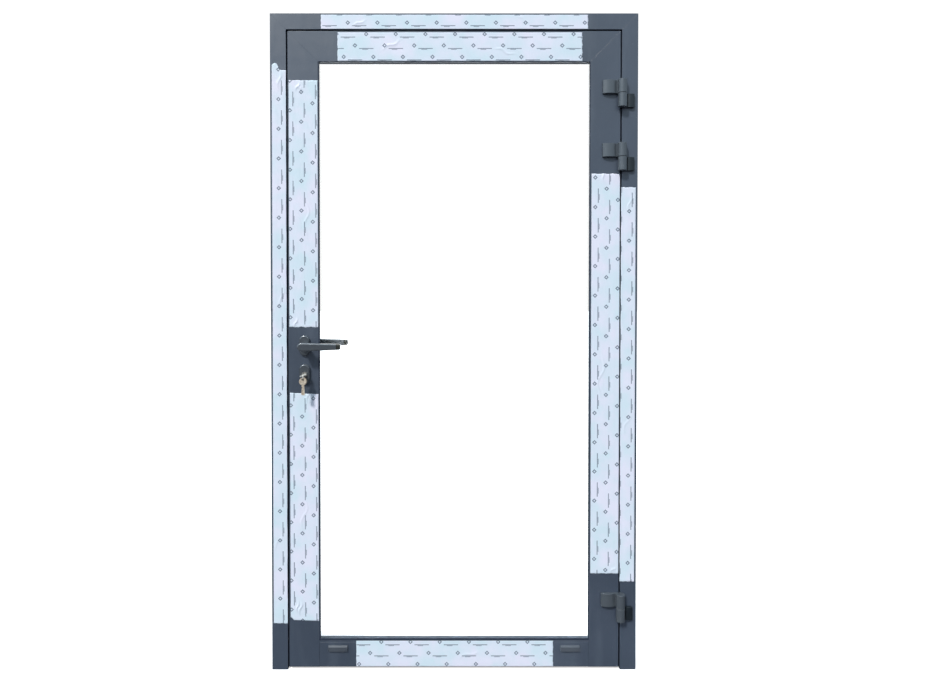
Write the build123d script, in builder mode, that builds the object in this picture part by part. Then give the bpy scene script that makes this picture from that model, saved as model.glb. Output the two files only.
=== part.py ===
from build123d import *
import os
from math import cos, radians, sin, tan

# A single glazed door leaf in a three-sided aluminium frame, opening outwards.
# X runs from the lock side to the hinge side, -Y is outside, Z is up. The origin is on the floor,
# under the middle of the frame. All sizes are in millimetres and angles in degrees.

# Overall size and the rolled aluminium profiles.
door_width = 1170.0
door_height = 2100.0
profile_depth = 70.0
thermal_gap = 24.0
wall = 2.0
edge_radius = 1.0

# Widths that show from outside, and the gaps around the leaf.
frame_face = 51.0
leaf_face = 97.0
rail_face = 80.0
face_gap = 5.0
floor_gap = 9.0

# Rebates: how the leaf overlaps the frame outside, and the frame overlaps the leaf inside.
shoulder_reach = 11.0
rebate_gap = 11.5
flange_thick = 13.5
flange_gap = 4.5

# Polyamide strips that hold the two shells of a bar together.
strip_thick = 2.0
strip_inset = 6.0
end_clearance = 0.3

# Glazing rebate, panes and gaskets.
glass_lip = 22.0
lip_thick = 8.0
pane_thick = 4.0
glass_cavity = 12.0
outer_gasket = 4.0
inner_gasket = 4.0
glass_edge_gap = 3.0
spacer_height = 6.0
sealant_height = 3.5
bead_height = 13.0
bead_top = 8.0
bead_wall = 1.6
block_length = 100.0
block_from_corner = 120.0

# Gaskets clip into grooves.
groove_width = 3.0
groove_depth = 3.0
groove_clearance = 0.2
gasket_head = 5.0
gasket_touch = 0.3
seal_edge = 3.0
foot_gap = 1.0

# Corner cleats and rail connectors.
cleat_leg = 70.0
cleat_clearance = 0.3

# Surface-mounted barrel hinges.
top_hinge_drop = 256.0
hinge_spacing = 200.0
bottom_hinge_rise = 207.5
knuckle_height = 43.0
knuckle_gap = 1.0
barrel_radius = 14.0
hinge_stand = 15.0
leaf_wing_reach = 60.0
frame_wing_reach = 40.0
wing_edge = 8.0
leaf_wing_crown = 14.0
frame_wing_crown = 11.0
wing_waist = 17.0
wing_waist_height = 8.0
wing_side_gap = 3.0
hinge_edge = 1.0
pin_radius = 6.0
bush_wall = 1.5
running_clearance = 0.05
pin_end_cover = 5.0
hinge_screw_radius = 3.0
hinge_screw_grip = 8.0
hinge_screw_rise = 12.0
screw_clearance = 0.2

# Lock, placed on the handle axis.
handle_height = 1045.0
lock_centres = 92.0
backset = 35.0
case_thick = 15.0
case_back = 18.0
case_above = 60.0
case_below = 130.0
plate_thick = 3.0
plate_width = 28.0
plate_overhang = 25.0
strike_thick = 2.5
strike_width = 30.0
plate_screw_radius = 2.5
plate_screw_head = 4.5
plate_screw_length = 14.0
plate_screw_inset = 10.0
bolt_thick = 12.0
latch_height = 28.0
latch_length = 27.0
latch_throw = 12.0
latch_rise = 22.0
latch_bevel = 9.0
dead_bolt_height = 32.0
dead_bolt_length = 33.0
dead_bolt_drop = 40.0
bolt_clearance = 0.3
strike_clearance = 1.5
follower_radius = 9.0
spindle_size = 8.0
spindle_clearance = 0.05

# Lever handles, roses and escutcheons.
rose_width = 33.0
rose_height = 65.0
rose_thick = 10.0
rose_edge = 4.0
journal_radius = 8.0
lever_stand = 58.0
lever_length = 121.0
lever_thick = 14.0
lever_root_radius = 13.5
lever_drop = 1.0
lever_tip_height = 18.0
lever_tip_radius = 4.5
lever_edge = 4.0
neck_radius = 10.0
neck_flare = 3.0
spindle_in_neck = 30.0

# Profile cylinder, plug, key and thumbturn.
cylinder_radius = 8.5
cylinder_web = 10.0
cylinder_height = 33.0
cylinder_proud = 12.0
cylinder_clearance = 0.4
plug_radius = 6.5
cam_thick = 8.0
cam_tongue = 15.0
cam_tongue_width = 9.0
cam_clearance = 0.3
keyway_width = 2.4
keyway_height = 8.4
key_thick = 2.2
key_blade = 8.0
key_blade_length = 28.0
key_neck = 4.0
key_bow_radius = 11.5
key_hole_radius = 4.0
key_rim = 2.0
key_turned = 71.0
ring_radius = 7.0
ring_wire = 0.9
hang_gap = 1.1
ring_gap = 0.9
ring_shift = 1.4
spare_spacing = 2.6
spare_hangs = ((-1.0, 3.0), (1.2, -4.0))
turn_width = 30.0
turn_thick = 12.0
turn_stand = 22.0
turn_edge = 3.0

# Drain caps on the bottom rail.
cap_width = 61.0
cap_height = 18.0
cap_stand = 6.0
cap_wall = 1.5
cap_bevel = 4.5
cap_offset = 373.0
cap_centre_height = 70.0
drain_slot_width = 30.0
drain_slot_height = 6.0

# Protective film left on the faces.
film_thick = 0.3
film_edge = 3.0
film_head_half = 425.0
film_top_from = -370.0
film_top_to = 407.0
film_rail_half = 317.0
film_tear_depth = 22.0
film_tear_width = 20.0
lock_jamb_film_rise = 149.0
lock_jamb_film_drop = 158.0
hinge_jamb_film_above = 77.5
hinge_jamb_film_below = 95.0
stile_film_rise = 159.0
stile_film_drop = 156.0
film_above_handle = 58.0
film_below_cylinder = 60.0
hinge_stile_film_above = 103.5
hinge_stile_film_below = 52.0

# Drop seal channel in the bottom rail.
seal_width = 14.0
seal_height = 20.0

# Values that follow from the sizes above.
outside = -profile_depth / 2
inside = profile_depth / 2
core = thermal_gap / 2
frame_body = frame_face + shoulder_reach
leaf_inset = frame_face + face_gap
flange_reach = frame_body + rebate_gap - leaf_inset
frame_stop = frame_body + flange_reach
shoulder_depth = outside + flange_thick + flange_gap
stop_face = -(outside + flange_thick)
leaf_step = frame_stop + face_gap - leaf_inset
rebate = leaf_face - glass_lip
rail_rebate = rail_face - glass_lip
lip_back = outside + lip_thick
glass_out = lip_back + outer_gasket
glass_in = glass_out + 2 * pane_thick + glass_cavity
bead_front = glass_in + inner_gasket
half_width = door_width / 2
leaf_left = -half_width + leaf_inset
leaf_right = half_width - leaf_inset
leaf_top = door_height - leaf_inset
leaf_bottom = floor_gap
hinge_axis = half_width - frame_face - face_gap / 2
hinge_axis_y = outside - hinge_stand
lock_plane = leaf_left + flange_reach
spindle_x = lock_plane + backset
cylinder_z = handle_height - lock_centres
hinge_splits = {
    "top": door_height - top_hinge_drop,
    "middle": door_height - top_hinge_drop - hinge_spacing,
    "bottom": bottom_hinge_rise,
}
bush_radius = pin_radius + running_clearance + bush_wall
cylinder_nose = outside - cylinder_proud
bow_centre = key_neck + key_bow_radius
bow_rim = bow_centre + key_bow_radius - key_rim / 2
bow_hole = bow_centre + key_bow_radius - key_rim - key_hole_radius
ring_rise = ring_shift * tan(radians(90.0 - key_turned))
ring_drop = ring_radius - ring_wire - key_thick / 2 - ring_gap - ring_rise
ring_z = cylinder_z - ring_drop

os.makedirs("parts", exist_ok=True)


def save(piece, name):
    """Label a finished piece and write it to its own file."""
    piece.label = name
    export_step(piece, f"parts/{name}.step")


def sides(left, right, bottom, top):
    """Start corner, inward direction, run direction and length of each side of an upright rectangle."""
    width = right - left
    height = top - bottom
    return {
        "lock": ((left, 0, bottom), (1, 0, 0), (0, 0, 1), height),
        "top": ((left, 0, top), (0, 0, -1), (1, 0, 0), width),
        "hinge": ((right, 0, top), (-1, 0, 0), (0, 0, -1), height),
        "bottom": ((right, 0, bottom), (0, 0, 1), (-1, 0, 0), width),
    }


def facing_out(x, y, z, turn=0.0):
    """A plane seen from outside, with X to the right and up turned clockwise by the given angle."""
    return Plane(origin=(x, y, z), x_dir=(cos(radians(turn)), 0, -sin(radians(turn))), z_dir=(0, -1, 0))


def bar(section, side, mitre_start=True, mitre_end=True):
    """A section run along one side of a rectangle, cut square or mitred at each end."""
    start, inward, along, length = side
    finish = Vector(start) + Vector(along) * length
    with BuildPart() as piece:
        with BuildSketch(Plane(origin=start, x_dir=inward, z_dir=along)):
            add(section)
        extrude(amount=length)
        if mitre_start:
            split(bisect_by=Plane(origin=start, x_dir=(0, 1, 0), z_dir=Vector(along) - Vector(inward)))
        if mitre_end:
            split(bisect_by=Plane(origin=finish, x_dir=(0, 1, 0), z_dir=-Vector(along) - Vector(inward)))
    return piece.part


def patch(u_low, u_high, v_low, v_high, mode=Mode.ADD):
    """A rectangle between two distances from the outer edge and two depths."""
    with Locations((u_low, v_low)):
        Rectangle(u_high - u_low, v_high - v_low, align=(Align.MIN, Align.MIN), mode=mode)


def groove(middle, v_low, v_high):
    """A gasket groove cut between two depths."""
    patch(middle - groove_width / 2, middle + groove_width / 2, v_low, v_high, Mode.SUBTRACT)


def block(x_low, x_high, y_low, y_high, z_low, z_high, mode=Mode.ADD):
    """A block between named planes."""
    with Locations((x_low, y_low, z_low)):
        Box(x_high - x_low, y_high - y_low, z_high - z_low, align=(Align.MIN,) * 3, mode=mode)


# Sections of the rolled profiles. The first coordinate runs from the outer edge towards the glass,
# the second from outside to inside.


def frame_outer_section():
    """Outer frame shell: a hollow box with the shoulder that the leaf's flange closes over."""
    with BuildSketch() as section:
        patch(0, frame_face, outside, -core)
        patch(frame_face, frame_body, shoulder_depth, -core)
        fillet(section.vertices().group_by(Axis.Y)[0], edge_radius)
        patch(wall, frame_face - wall, outside + wall, -core - wall, Mode.SUBTRACT)
    return section.sketch


def frame_inner_section():
    """Inner frame shell: a hollow box with the stop that the leaf closes against."""
    seal = frame_stop - seal_edge
    with BuildSketch() as section:
        patch(0, frame_body, core, inside)
        patch(frame_body, frame_stop, stop_face, inside)
        fillet(section.vertices().group_by(Axis.Y)[-1], edge_radius)
        patch(wall, frame_body - wall, core + wall, inside - wall, Mode.SUBTRACT)
        groove(seal, stop_face, stop_face + groove_depth)
        patch(frame_body, seal - groove_width, stop_face + wall, inside - wall, Mode.SUBTRACT)
    return section.sketch


def leaf_outer_section(face, rebate_edge, flange):
    """Outer leaf shell: flange over the frame, hollow body, and the lip in front of the glass."""
    with BuildSketch() as section:
        patch(flange, rebate_edge, outside, -core)
        patch(0, face, outside, lip_back)
        if flange:
            patch(0, flange, lip_back, outside + flange_thick)
        fillet(section.vertices().group_by(Axis.Y)[0], edge_radius)
        patch(flange + wall, rebate_edge - wall, outside + wall, -core - wall, Mode.SUBTRACT)
        lip_groove = face - glass_lip / 3
        patch(rebate_edge, lip_groove - groove_width, outside + wall, lip_back - wall, Mode.SUBTRACT)
        groove(lip_groove, lip_back - groove_depth, lip_back)
        if flange:
            seal_face = outside + flange_thick
            groove(seal_edge, seal_face - groove_depth, seal_face)
            patch(seal_edge + groove_width, flange, outside + wall, seal_face - wall, Mode.SUBTRACT)
    return section.sketch


def leaf_inner_section(rebate_edge, flange, step):
    """Inner leaf shell: a low shoulder for the frame gasket, then a hollow body up to the bead."""
    with BuildSketch() as section:
        patch(step, rebate_edge, core, inside)
        if step:
            patch(flange, step, core, -shoulder_depth)
        fillet(section.vertices().group_by(Axis.Y)[-1], edge_radius)
        patch(step + wall, rebate_edge - wall, core + wall, inside - wall, Mode.SUBTRACT)
    return section.sketch


def gasket_section(middle, head_low, head_high, from_depth, to_depth):
    """A gasket: a head that presses on the next piece and a foot in its groove.

    The foot leaves from_depth away from the head."""
    foot = groove_width / 2 - groove_clearance
    toward = 1 if to_depth > from_depth else -1
    foot_end = from_depth - toward * (groove_depth - groove_clearance)
    with BuildSketch() as section:
        patch(head_low, head_high, min(from_depth, to_depth), max(from_depth, to_depth))
        patch(middle - foot, middle + foot, min(from_depth, foot_end), max(from_depth, foot_end))
    return section.sketch


frame_sides = sides(-half_width, half_width, 0, door_height)
leaf_sides = sides(leaf_left, leaf_right, leaf_bottom, leaf_top)
glazing_left = leaf_left + rebate
glazing_right = leaf_right - rebate
glazing_top = leaf_top - rebate
glazing_bottom = leaf_bottom + rail_rebate
glazing_sides = sides(glazing_left, glazing_right, glazing_bottom, glazing_top)


def euro_profile(clearance=0.0):
    """Outline of a profile cylinder: a round head with a rounded web below it."""
    radius = cylinder_web / 2 + clearance
    drop = cylinder_height - cylinder_radius - cylinder_web / 2
    Circle(cylinder_radius + clearance)
    with Locations((0, -drop / 2)):
        Rectangle(2 * radius, drop)
    with Locations((0, -drop)):
        Circle(radius)


def oval(width, height):
    """An upright oval with full round ends."""
    SlotOverall(height, width, rotation=90)


# Frame: head and two jambs, each an outer and an inner shell.
strike_levels = {
    "latch": (handle_height + latch_rise, latch_height),
    "dead_bolt": (handle_height - dead_bolt_drop, dead_bolt_height),
}
strike_low = handle_height - case_below - plate_overhang
strike_high = handle_height + case_above + plate_overhang
wing_backs = {
    name: (split_z - knuckle_gap / 2 - knuckle_height / 2, split_z + knuckle_gap / 2 + knuckle_height / 2)
    for name, split_z in hinge_splits.items()
}


def wing_screws(reach, middle_z):
    """Places of the two screws behind a hinge wing, as distance from the hinge axis and height."""
    across = (wing_waist + reach) / 2
    return [(across, middle_z - hinge_screw_rise), (across, middle_z + hinge_screw_rise)]


def screw_holes(side, reach, level):
    """Clearance holes through the outer wall behind every hinge wing of one side."""
    for heights in wing_backs.values():
        for across, height in wing_screws(reach, heights[level]):
            with BuildSketch(facing_out(hinge_axis + side * across, outside + wall, height)) as hole:
                Circle(hinge_screw_radius + screw_clearance)
            extrude(hole.sketch, amount=wall, mode=Mode.SUBTRACT)


with BuildPart() as frame_jamb_lock:
    add(bar(frame_outer_section(), frame_sides["lock"], mitre_start=False))
    add(bar(frame_inner_section(), frame_sides["lock"], mitre_start=False))
save(frame_jamb_lock.part, "frame_jamb_lock")

with BuildPart() as frame_jamb_hinge:
    add(bar(frame_outer_section(), frame_sides["hinge"], mitre_end=False))
    add(bar(frame_inner_section(), frame_sides["hinge"], mitre_end=False))
    screw_holes(1, frame_wing_reach, 0)
save(frame_jamb_hinge.part, "frame_jamb_hinge")

with BuildPart() as frame_head:
    add(bar(frame_outer_section(), frame_sides["top"]))
    add(bar(frame_inner_section(), frame_sides["top"]))
save(frame_head.part, "frame_head")


def strips(level, low, high, left, right):
    """Strips at one distance from the outer edge: uprights run through, the level ones butt on them."""
    for x_outer, toward in ((left, 1), (right, -1)):
        ends = sorted((x_outer + toward * level, x_outer + toward * (level + strip_thick)))
        block(ends[0], ends[1], -core, core, low, high - level)
    butt = level + strip_thick + end_clearance
    block(left + butt, right - butt, -core, core, high - level - strip_thick, high - level)


frame_strip_levels = (strip_inset, frame_body - strip_inset)
with BuildPart() as frame_thermal_strips:
    for level in frame_strip_levels:
        strips(level, 0, door_height, -half_width, half_width)
    for middle, height in strike_levels.values():
        low, high = middle - height / 2 - strike_clearance, middle + height / 2 + strike_clearance
        block(-half_width, -half_width + frame_body, -core, core, low, high, Mode.SUBTRACT)
save(frame_thermal_strips.part, "frame_thermal_strips")


def corner_cleat(section, arriving, leaving):
    """An angle that joins two mitred bars, with one leg in each of them."""
    start, inward, along, length = arriving
    near = Vector(start) + Vector(along) * (length - cleat_leg)
    add(bar(section, (near, inward, along, cleat_leg), mitre_start=False))
    start, inward, along, length = leaving
    add(bar(section, (start, inward, along, cleat_leg), mitre_end=False))


def chamber_fills(*shells):
    """The chambers of the given shells, less the fit of the cleat that slides into each."""
    fit = wall + cleat_clearance
    with BuildSketch() as section:
        for u_low, u_high, v_low, v_high in shells:
            patch(u_low + fit, u_high - fit, v_low + fit, v_high - fit)
    return section.sketch


frame_chambers = chamber_fills((0, frame_face, outside, -core), (0, frame_body, core, inside))
with BuildPart() as frame_corner_cleats:
    corner_cleat(frame_chambers, frame_sides["lock"], frame_sides["top"])
    corner_cleat(frame_chambers, frame_sides["top"], frame_sides["hinge"])
save(frame_corner_cleats.part, "frame_corner_cleats")

stop_seal = frame_stop - seal_edge
stop_head = (stop_seal - gasket_head / 2, stop_seal + gasket_head / 2)
stop_gasket = gasket_section(stop_seal, *stop_head, stop_face, -shoulder_depth + gasket_touch)
gasket_sides = sides(-half_width, half_width, foot_gap, door_height)
with BuildPart() as frame_gasket:
    add(bar(stop_gasket, gasket_sides["lock"], mitre_start=False))
    add(bar(stop_gasket, gasket_sides["top"]))
    add(bar(stop_gasket, gasket_sides["hinge"], mitre_end=False))
save(frame_gasket.part, "frame_gasket")

# Strike plate on the lock jamb, with pockets for the latch and the dead bolt.
strike_x = -half_width + frame_body
strike_screw_levels = (strike_low + plate_screw_inset, strike_high - plate_screw_inset)


def plate_screw(x, toward, height, length, mode=Mode.ADD, clearance=0.0):
    """A countersunk screw set level with the plate face at x, its point towards the given side."""
    slope = plate_screw_head - plate_screw_radius
    face = Plane(origin=(x, 0, height), x_dir=(0, 1, 0), z_dir=(toward, 0, 0))
    with BuildSketch(face) as shank:
        Circle(plate_screw_radius + clearance)
    extrude(shank.sketch, amount=length, mode=mode)
    with Locations(face.location):
        Cone(
            plate_screw_head + clearance,
            plate_screw_radius + clearance,
            slope,
            align=(Align.CENTER, Align.CENTER, Align.MIN),
            mode=mode,
        )


with BuildPart() as strike_plate:
    block(strike_x, strike_x + strike_thick, -strike_width / 2, strike_width / 2, strike_low, strike_high)
    fillet(strike_plate.edges().filter_by(Axis.X), wall)
    for middle, height in strike_levels.values():
        reach = height / 2 + strike_clearance
        side = bolt_thick / 2 + strike_clearance
        block(strike_x, strike_x + strike_thick, -side, side, middle - reach, middle + reach, Mode.SUBTRACT)
    for level in strike_screw_levels:
        plate_screw(strike_x + strike_thick, -1, level, strike_thick, Mode.SUBTRACT, screw_clearance)
save(strike_plate.part, "strike_plate")

strip_face = -half_width + frame_body - strip_inset + strip_thick
with BuildPart() as strike_screws:
    for level in strike_screw_levels:
        plate_screw(strike_x + strike_thick, -1, level, strike_x + strike_thick - strip_face)
save(strike_screws.part, "strike_screws")

# Leaf: stiles and top rail share a section, the bottom rail is lower and has no flange.
leaf_outer = leaf_outer_section(leaf_face, rebate, flange_reach)
leaf_inner = leaf_inner_section(rebate, flange_reach, leaf_step)
rail_outer = leaf_outer_section(rail_face, rail_rebate, 0)
rail_inner = leaf_inner_section(rail_rebate, 0, 0)
rail_side = ((glazing_right, 0, leaf_bottom), (0, 0, 1), (-1, 0, 0), glazing_right - glazing_left)


def cross_groove(end, toward):
    """The rail's gasket groove, carried on across the lip of a stile."""
    reach = glass_lip - glass_lip / 3 - groove_width / 2
    low, high = sorted((end + toward * reach, end + toward * glass_lip))
    groove_low = glazing_bottom + reach
    block(low, high, lip_back - groove_depth, lip_back, groove_low, groove_low + groove_width, Mode.SUBTRACT)


with BuildPart() as leaf_stile_lock:
    add(bar(leaf_outer, leaf_sides["lock"], mitre_start=False))
    add(bar(leaf_inner, leaf_sides["lock"], mitre_start=False))
    cross_groove(glazing_left, 1)
    with BuildSketch(facing_out(spindle_x, inside, handle_height)):
        Circle(journal_radius + wall)
    extrude(amount=profile_depth, mode=Mode.SUBTRACT)
    with BuildSketch(facing_out(spindle_x, inside, cylinder_z)):
        euro_profile(cylinder_clearance)
    extrude(amount=profile_depth, mode=Mode.SUBTRACT)
save(leaf_stile_lock.part, "leaf_stile_lock")

with BuildPart() as leaf_stile_hinge:
    add(bar(leaf_outer, leaf_sides["hinge"], mitre_end=False))
    add(bar(leaf_inner, leaf_sides["hinge"], mitre_end=False))
    cross_groove(glazing_right, -1)
    screw_holes(-1, leaf_wing_reach, 1)
save(leaf_stile_hinge.part, "leaf_stile_hinge")

with BuildPart() as leaf_rail_top:
    add(bar(leaf_outer, leaf_sides["top"]))
    add(bar(leaf_inner, leaf_sides["top"]))
save(leaf_rail_top.part, "leaf_rail_top")

with BuildPart() as leaf_rail_bottom:
    add(bar(rail_outer, rail_side, mitre_start=False, mitre_end=False))
    add(bar(rail_inner, rail_side, mitre_start=False, mitre_end=False))
    # The lips of the stiles run down to the floor in front of the rail's ends.
    for end, toward in ((glazing_left, 1), (glazing_right, -1)):
        low, high = sorted((end, end + toward * glass_lip))
        block(low, high, outside, lip_back, leaf_bottom, leaf_bottom + rail_face, Mode.SUBTRACT)
    for slot_x in (-cap_offset, cap_offset):
        with BuildSketch(facing_out(slot_x, outside + wall, cap_centre_height)):
            SlotOverall(drain_slot_width, drain_slot_height)
        extrude(amount=wall, mode=Mode.SUBTRACT)
save(leaf_rail_bottom.part, "leaf_rail_bottom")

case_low = handle_height - case_below
case_high = handle_height + case_above
leaf_strip_levels = (flange_reach, rebate - strip_thick)
with BuildPart() as leaf_thermal_strips:
    for level in leaf_strip_levels:
        strips(level, leaf_bottom, leaf_top, leaf_left, leaf_right)
    for low in (leaf_bottom + seal_height, glazing_bottom - strip_thick):
        left, right = glazing_left + end_clearance, glazing_right - end_clearance
        block(left, right, -core, core, low, low + strip_thick)
    strip_end = lock_plane + strip_thick
    block(lock_plane, strip_end, -core, core, case_low - wall, case_high + wall, Mode.SUBTRACT)
save(leaf_thermal_strips.part, "leaf_thermal_strips")

leaf_chambers = chamber_fills((flange_reach, rebate, outside, -core), (leaf_step, rebate, core, inside))
rail_chambers = chamber_fills((0, rail_rebate, outside, -core), (0, rail_rebate, core, inside))
with BuildPart() as leaf_corner_cleats:
    corner_cleat(leaf_chambers, leaf_sides["lock"], leaf_sides["top"])
    corner_cleat(leaf_chambers, leaf_sides["top"], leaf_sides["hinge"])
    for end in (glazing_right, glazing_left + cleat_leg):
        add(bar(rail_chambers, ((end, 0, leaf_bottom), (0, 0, 1), (-1, 0, 0), cleat_leg), False, False))
    for end, toward in ((glazing_left, 1), (glazing_right, -1)):
        low, high = sorted((end, end + toward * (glass_lip + cleat_clearance)))
        block(low, high, outside, lip_back + cleat_clearance, leaf_bottom, glazing_bottom, Mode.SUBTRACT)
save(leaf_corner_cleats.part, "leaf_corner_cleats")

leaf_head = (seal_edge - gasket_head / 2, seal_edge + gasket_head / 2)
leaf_seal = gasket_section(seal_edge, *leaf_head, outside + flange_thick, shoulder_depth - gasket_touch)
with BuildPart() as leaf_gasket:
    add(bar(leaf_seal, leaf_sides["lock"], mitre_start=False))
    add(bar(leaf_seal, leaf_sides["top"]))
    add(bar(leaf_seal, leaf_sides["hinge"], mitre_end=False))
save(leaf_gasket.part, "leaf_gasket")

# Drop seal, drawn up into the channel under the bottom rail.
with BuildPart() as drop_seal:
    left, right = glazing_left + foot_gap, glazing_right - foot_gap
    block(left, right, -seal_width / 2, seal_width / 2, leaf_bottom, leaf_bottom + seal_height)
    lip_high = leaf_bottom + seal_height / 2
    block(left, right, -seal_width / 4, seal_width / 4, leaf_bottom, lip_high, Mode.SUBTRACT)
save(drop_seal.part, "drop_seal")

# Double glazing: two panes, a hollow spacer bar and the sealant round its edge.
glass_left = glazing_left + glass_edge_gap
glass_right = glazing_right - glass_edge_gap
glass_bottom = glazing_bottom + glass_edge_gap
glass_top = glazing_top - glass_edge_gap
pane_outer_back = glass_out + pane_thick
pane_inner_front = glass_in - pane_thick

with BuildPart() as glass_outer:
    block(glass_left, glass_right, glass_out, pane_outer_back, glass_bottom, glass_top)
save(glass_outer.part, "glass_outer")

with BuildPart() as glass_inner:
    block(glass_left, glass_right, pane_inner_front, glass_in, glass_bottom, glass_top)
save(glass_inner.part, "glass_inner")


def edge_frame(inset, height):
    """A closed frame between the panes, set in from the glass edge."""
    edges = sides(glass_left, glass_right, glass_bottom, glass_top)
    with BuildSketch() as section:
        patch(inset, inset + height, pane_outer_back, pane_inner_front)
    for side in edges.values():
        add(bar(section.sketch, side))


with BuildPart() as glass_edge_seal:
    edge_frame(0, sealant_height)
save(glass_edge_seal.part, "glass_edge_seal")

with BuildPart() as glass_spacer:
    edge_frame(sealant_height, spacer_height)
save(glass_spacer.part, "glass_spacer")

with BuildPart() as glazing_blocks:
    for x_middle in (glazing_left + block_from_corner, glazing_right - block_from_corner):
        half = block_length / 2
        block(x_middle - half, x_middle + half, glass_out, glass_in, glazing_bottom, glass_bottom)
    upright_low = glazing_top - block_from_corner - block_length / 2
    block(glazing_left, glass_left, glass_out, glass_in, upright_low, upright_low + block_length)
save(glazing_blocks.part, "glazing_blocks")

lip_groove = glass_lip - glass_lip / 3
outer_head = (glass_lip - 2 * gasket_head, glass_lip - groove_clearance)
outer_seal = gasket_section(lip_groove, *outer_head, lip_back, glass_out)
with BuildPart() as glazing_gasket_outer:
    for side in glazing_sides.values():
        add(bar(outer_seal, side))
save(glazing_gasket_outer.part, "glazing_gasket_outer")

bead_groove = bead_height / 2
inner_head = (glass_edge_gap, bead_height - groove_clearance)
inner_seal = gasket_section(bead_groove, *inner_head, bead_front, glass_in)
with BuildPart() as glazing_gasket_inner:
    for side in glazing_sides.values():
        add(bar(inner_seal, side))
save(glazing_gasket_inner.part, "glazing_gasket_inner")


def bead_section():
    """A hollow snap-in bead, sloped back from the glass so that it stays low inside."""
    bead_back = bead_front + groove_depth + bead_wall
    with BuildSketch() as section:
        with BuildLine():
            Polyline(
                (0, bead_front),
                (bead_height, bead_front),
                (bead_height, bead_back),
                (bead_top, inside),
                (0, inside),
                close=True,
            )
        make_face()
        fillet(section.vertices().group_by(Axis.Y)[-1].sort_by(Axis.X)[-1], bead_wall)
        patch(bead_wall, bead_top - bead_wall, bead_back, inside - bead_wall, Mode.SUBTRACT)
        low = bead_groove - groove_width / 2
        patch(low, low + groove_width, bead_front, bead_front + groove_depth, Mode.SUBTRACT)
    return section.sketch


bead = bead_section()
for place in ("lock", "hinge", "top", "bottom"):
    save(bar(bead, glazing_sides[place]), f"glazing_bead_{place}")

# Hinges: a barrel knuckle on each wing, a pin through both and a bush in the leaf's knuckle.


def wing_outline(side, reach, crown):
    """Plan outline of a hinge wing: a pillowed pad, a low waist and the barrel."""
    flat = (wing_waist + reach) / 2

    def at(across, stand):
        return (side * across, stand)

    with BuildLine() as outline:
        Polyline(
            at(wing_waist, wing_waist_height),
            at(0, wing_waist_height),
            at(wing_side_gap, barrel_radius / 2),
            at(wing_side_gap, 0),
            at(reach, 0),
            at(reach, wing_edge),
        )
        ThreePointArc(at(reach, wing_edge), at(flat, crown), at(wing_waist, wing_waist_height))
    make_face(outline.edges())
    with Locations((0, hinge_stand)):
        Circle(barrel_radius)


def hinge_wing(side, reach, crown, low):
    """One wing with its knuckle. Side is -1 for the leaf and 1 for the frame."""
    # The plan plane looks up from below, so its second axis points out of the face.
    plan = Plane(origin=(hinge_axis, outside, low + knuckle_height), x_dir=(1, 0, 0), z_dir=(0, 0, -1))
    with BuildPart() as wing:
        with BuildSketch(plan):
            wing_outline(side, reach, crown)
        extrude(amount=knuckle_height)
        chamfer(wing.edges().group_by(Axis.Z)[0] + wing.edges().group_by(Axis.Z)[-1], hinge_edge)
        bore = bush_radius if side < 0 else pin_radius
        cover = pin_end_cover
        bore_low = low if side < 0 else low + cover
        bore_high = low + knuckle_height - cover if side < 0 else low + knuckle_height
        with BuildSketch(Plane(origin=(hinge_axis, hinge_axis_y, bore_low))):
            Circle(bore)
        extrude(amount=bore_high - bore_low, mode=Mode.SUBTRACT)
        for across, height in wing_screws(reach, low + knuckle_height / 2):
            with BuildSketch(facing_out(hinge_axis + side * across, outside, height)):
                Circle(hinge_screw_radius)
            extrude(amount=hinge_screw_grip, mode=Mode.SUBTRACT)
    return wing.part


for name, split_z in hinge_splits.items():
    leaf_low = split_z + knuckle_gap / 2
    frame_low = split_z - knuckle_gap / 2 - knuckle_height
    save(hinge_wing(-1, leaf_wing_reach, leaf_wing_crown, leaf_low), f"hinge_{name}_leaf_wing")
    save(hinge_wing(1, frame_wing_reach, frame_wing_crown, frame_low), f"hinge_{name}_frame_wing")

with BuildPart() as hinge_pins:
    for split_z in hinge_splits.values():
        pin_low = split_z - knuckle_gap / 2 - knuckle_height + pin_end_cover
        pin_high = split_z + knuckle_gap / 2 + knuckle_height - 2 * pin_end_cover
        with BuildSketch(Plane(origin=(hinge_axis, hinge_axis_y, pin_low))):
            Circle(pin_radius)
        extrude(amount=pin_high - pin_low)
save(hinge_pins.part, "hinge_pins")

with BuildPart() as hinge_bushes:
    for split_z in hinge_splits.values():
        bush_low = split_z - knuckle_gap / 2
        with BuildSketch(Plane(origin=(hinge_axis, hinge_axis_y, bush_low))):
            Circle(barrel_radius - hinge_edge)
        extrude(amount=knuckle_gap)
        with BuildSketch(Plane(origin=(hinge_axis, hinge_axis_y, bush_low + knuckle_gap))):
            Circle(bush_radius)
        extrude(amount=knuckle_height - pin_end_cover)
        with BuildSketch(Plane(origin=(hinge_axis, hinge_axis_y, bush_low))):
            Circle(pin_radius + running_clearance)
        extrude(amount=knuckle_height + knuckle_gap - pin_end_cover - wall, mode=Mode.SUBTRACT)
save(hinge_bushes.part, "hinge_bushes")


def wing_screw_set(side, reach, level):
    """Screws from inside the profile chamber into the back of every wing of one side."""
    for heights in wing_backs.values():
        for across, height in wing_screws(reach, heights[level]):
            x = hinge_axis + side * across
            with BuildSketch(facing_out(x, outside + wall + hinge_screw_radius, height)) as head:
                Circle(1.7 * hinge_screw_radius)
            extrude(head.sketch, amount=hinge_screw_radius)
            with BuildSketch(facing_out(x, outside + wall, height)) as shank:
                Circle(hinge_screw_radius)
            extrude(shank.sketch, amount=wall + hinge_screw_grip)


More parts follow.
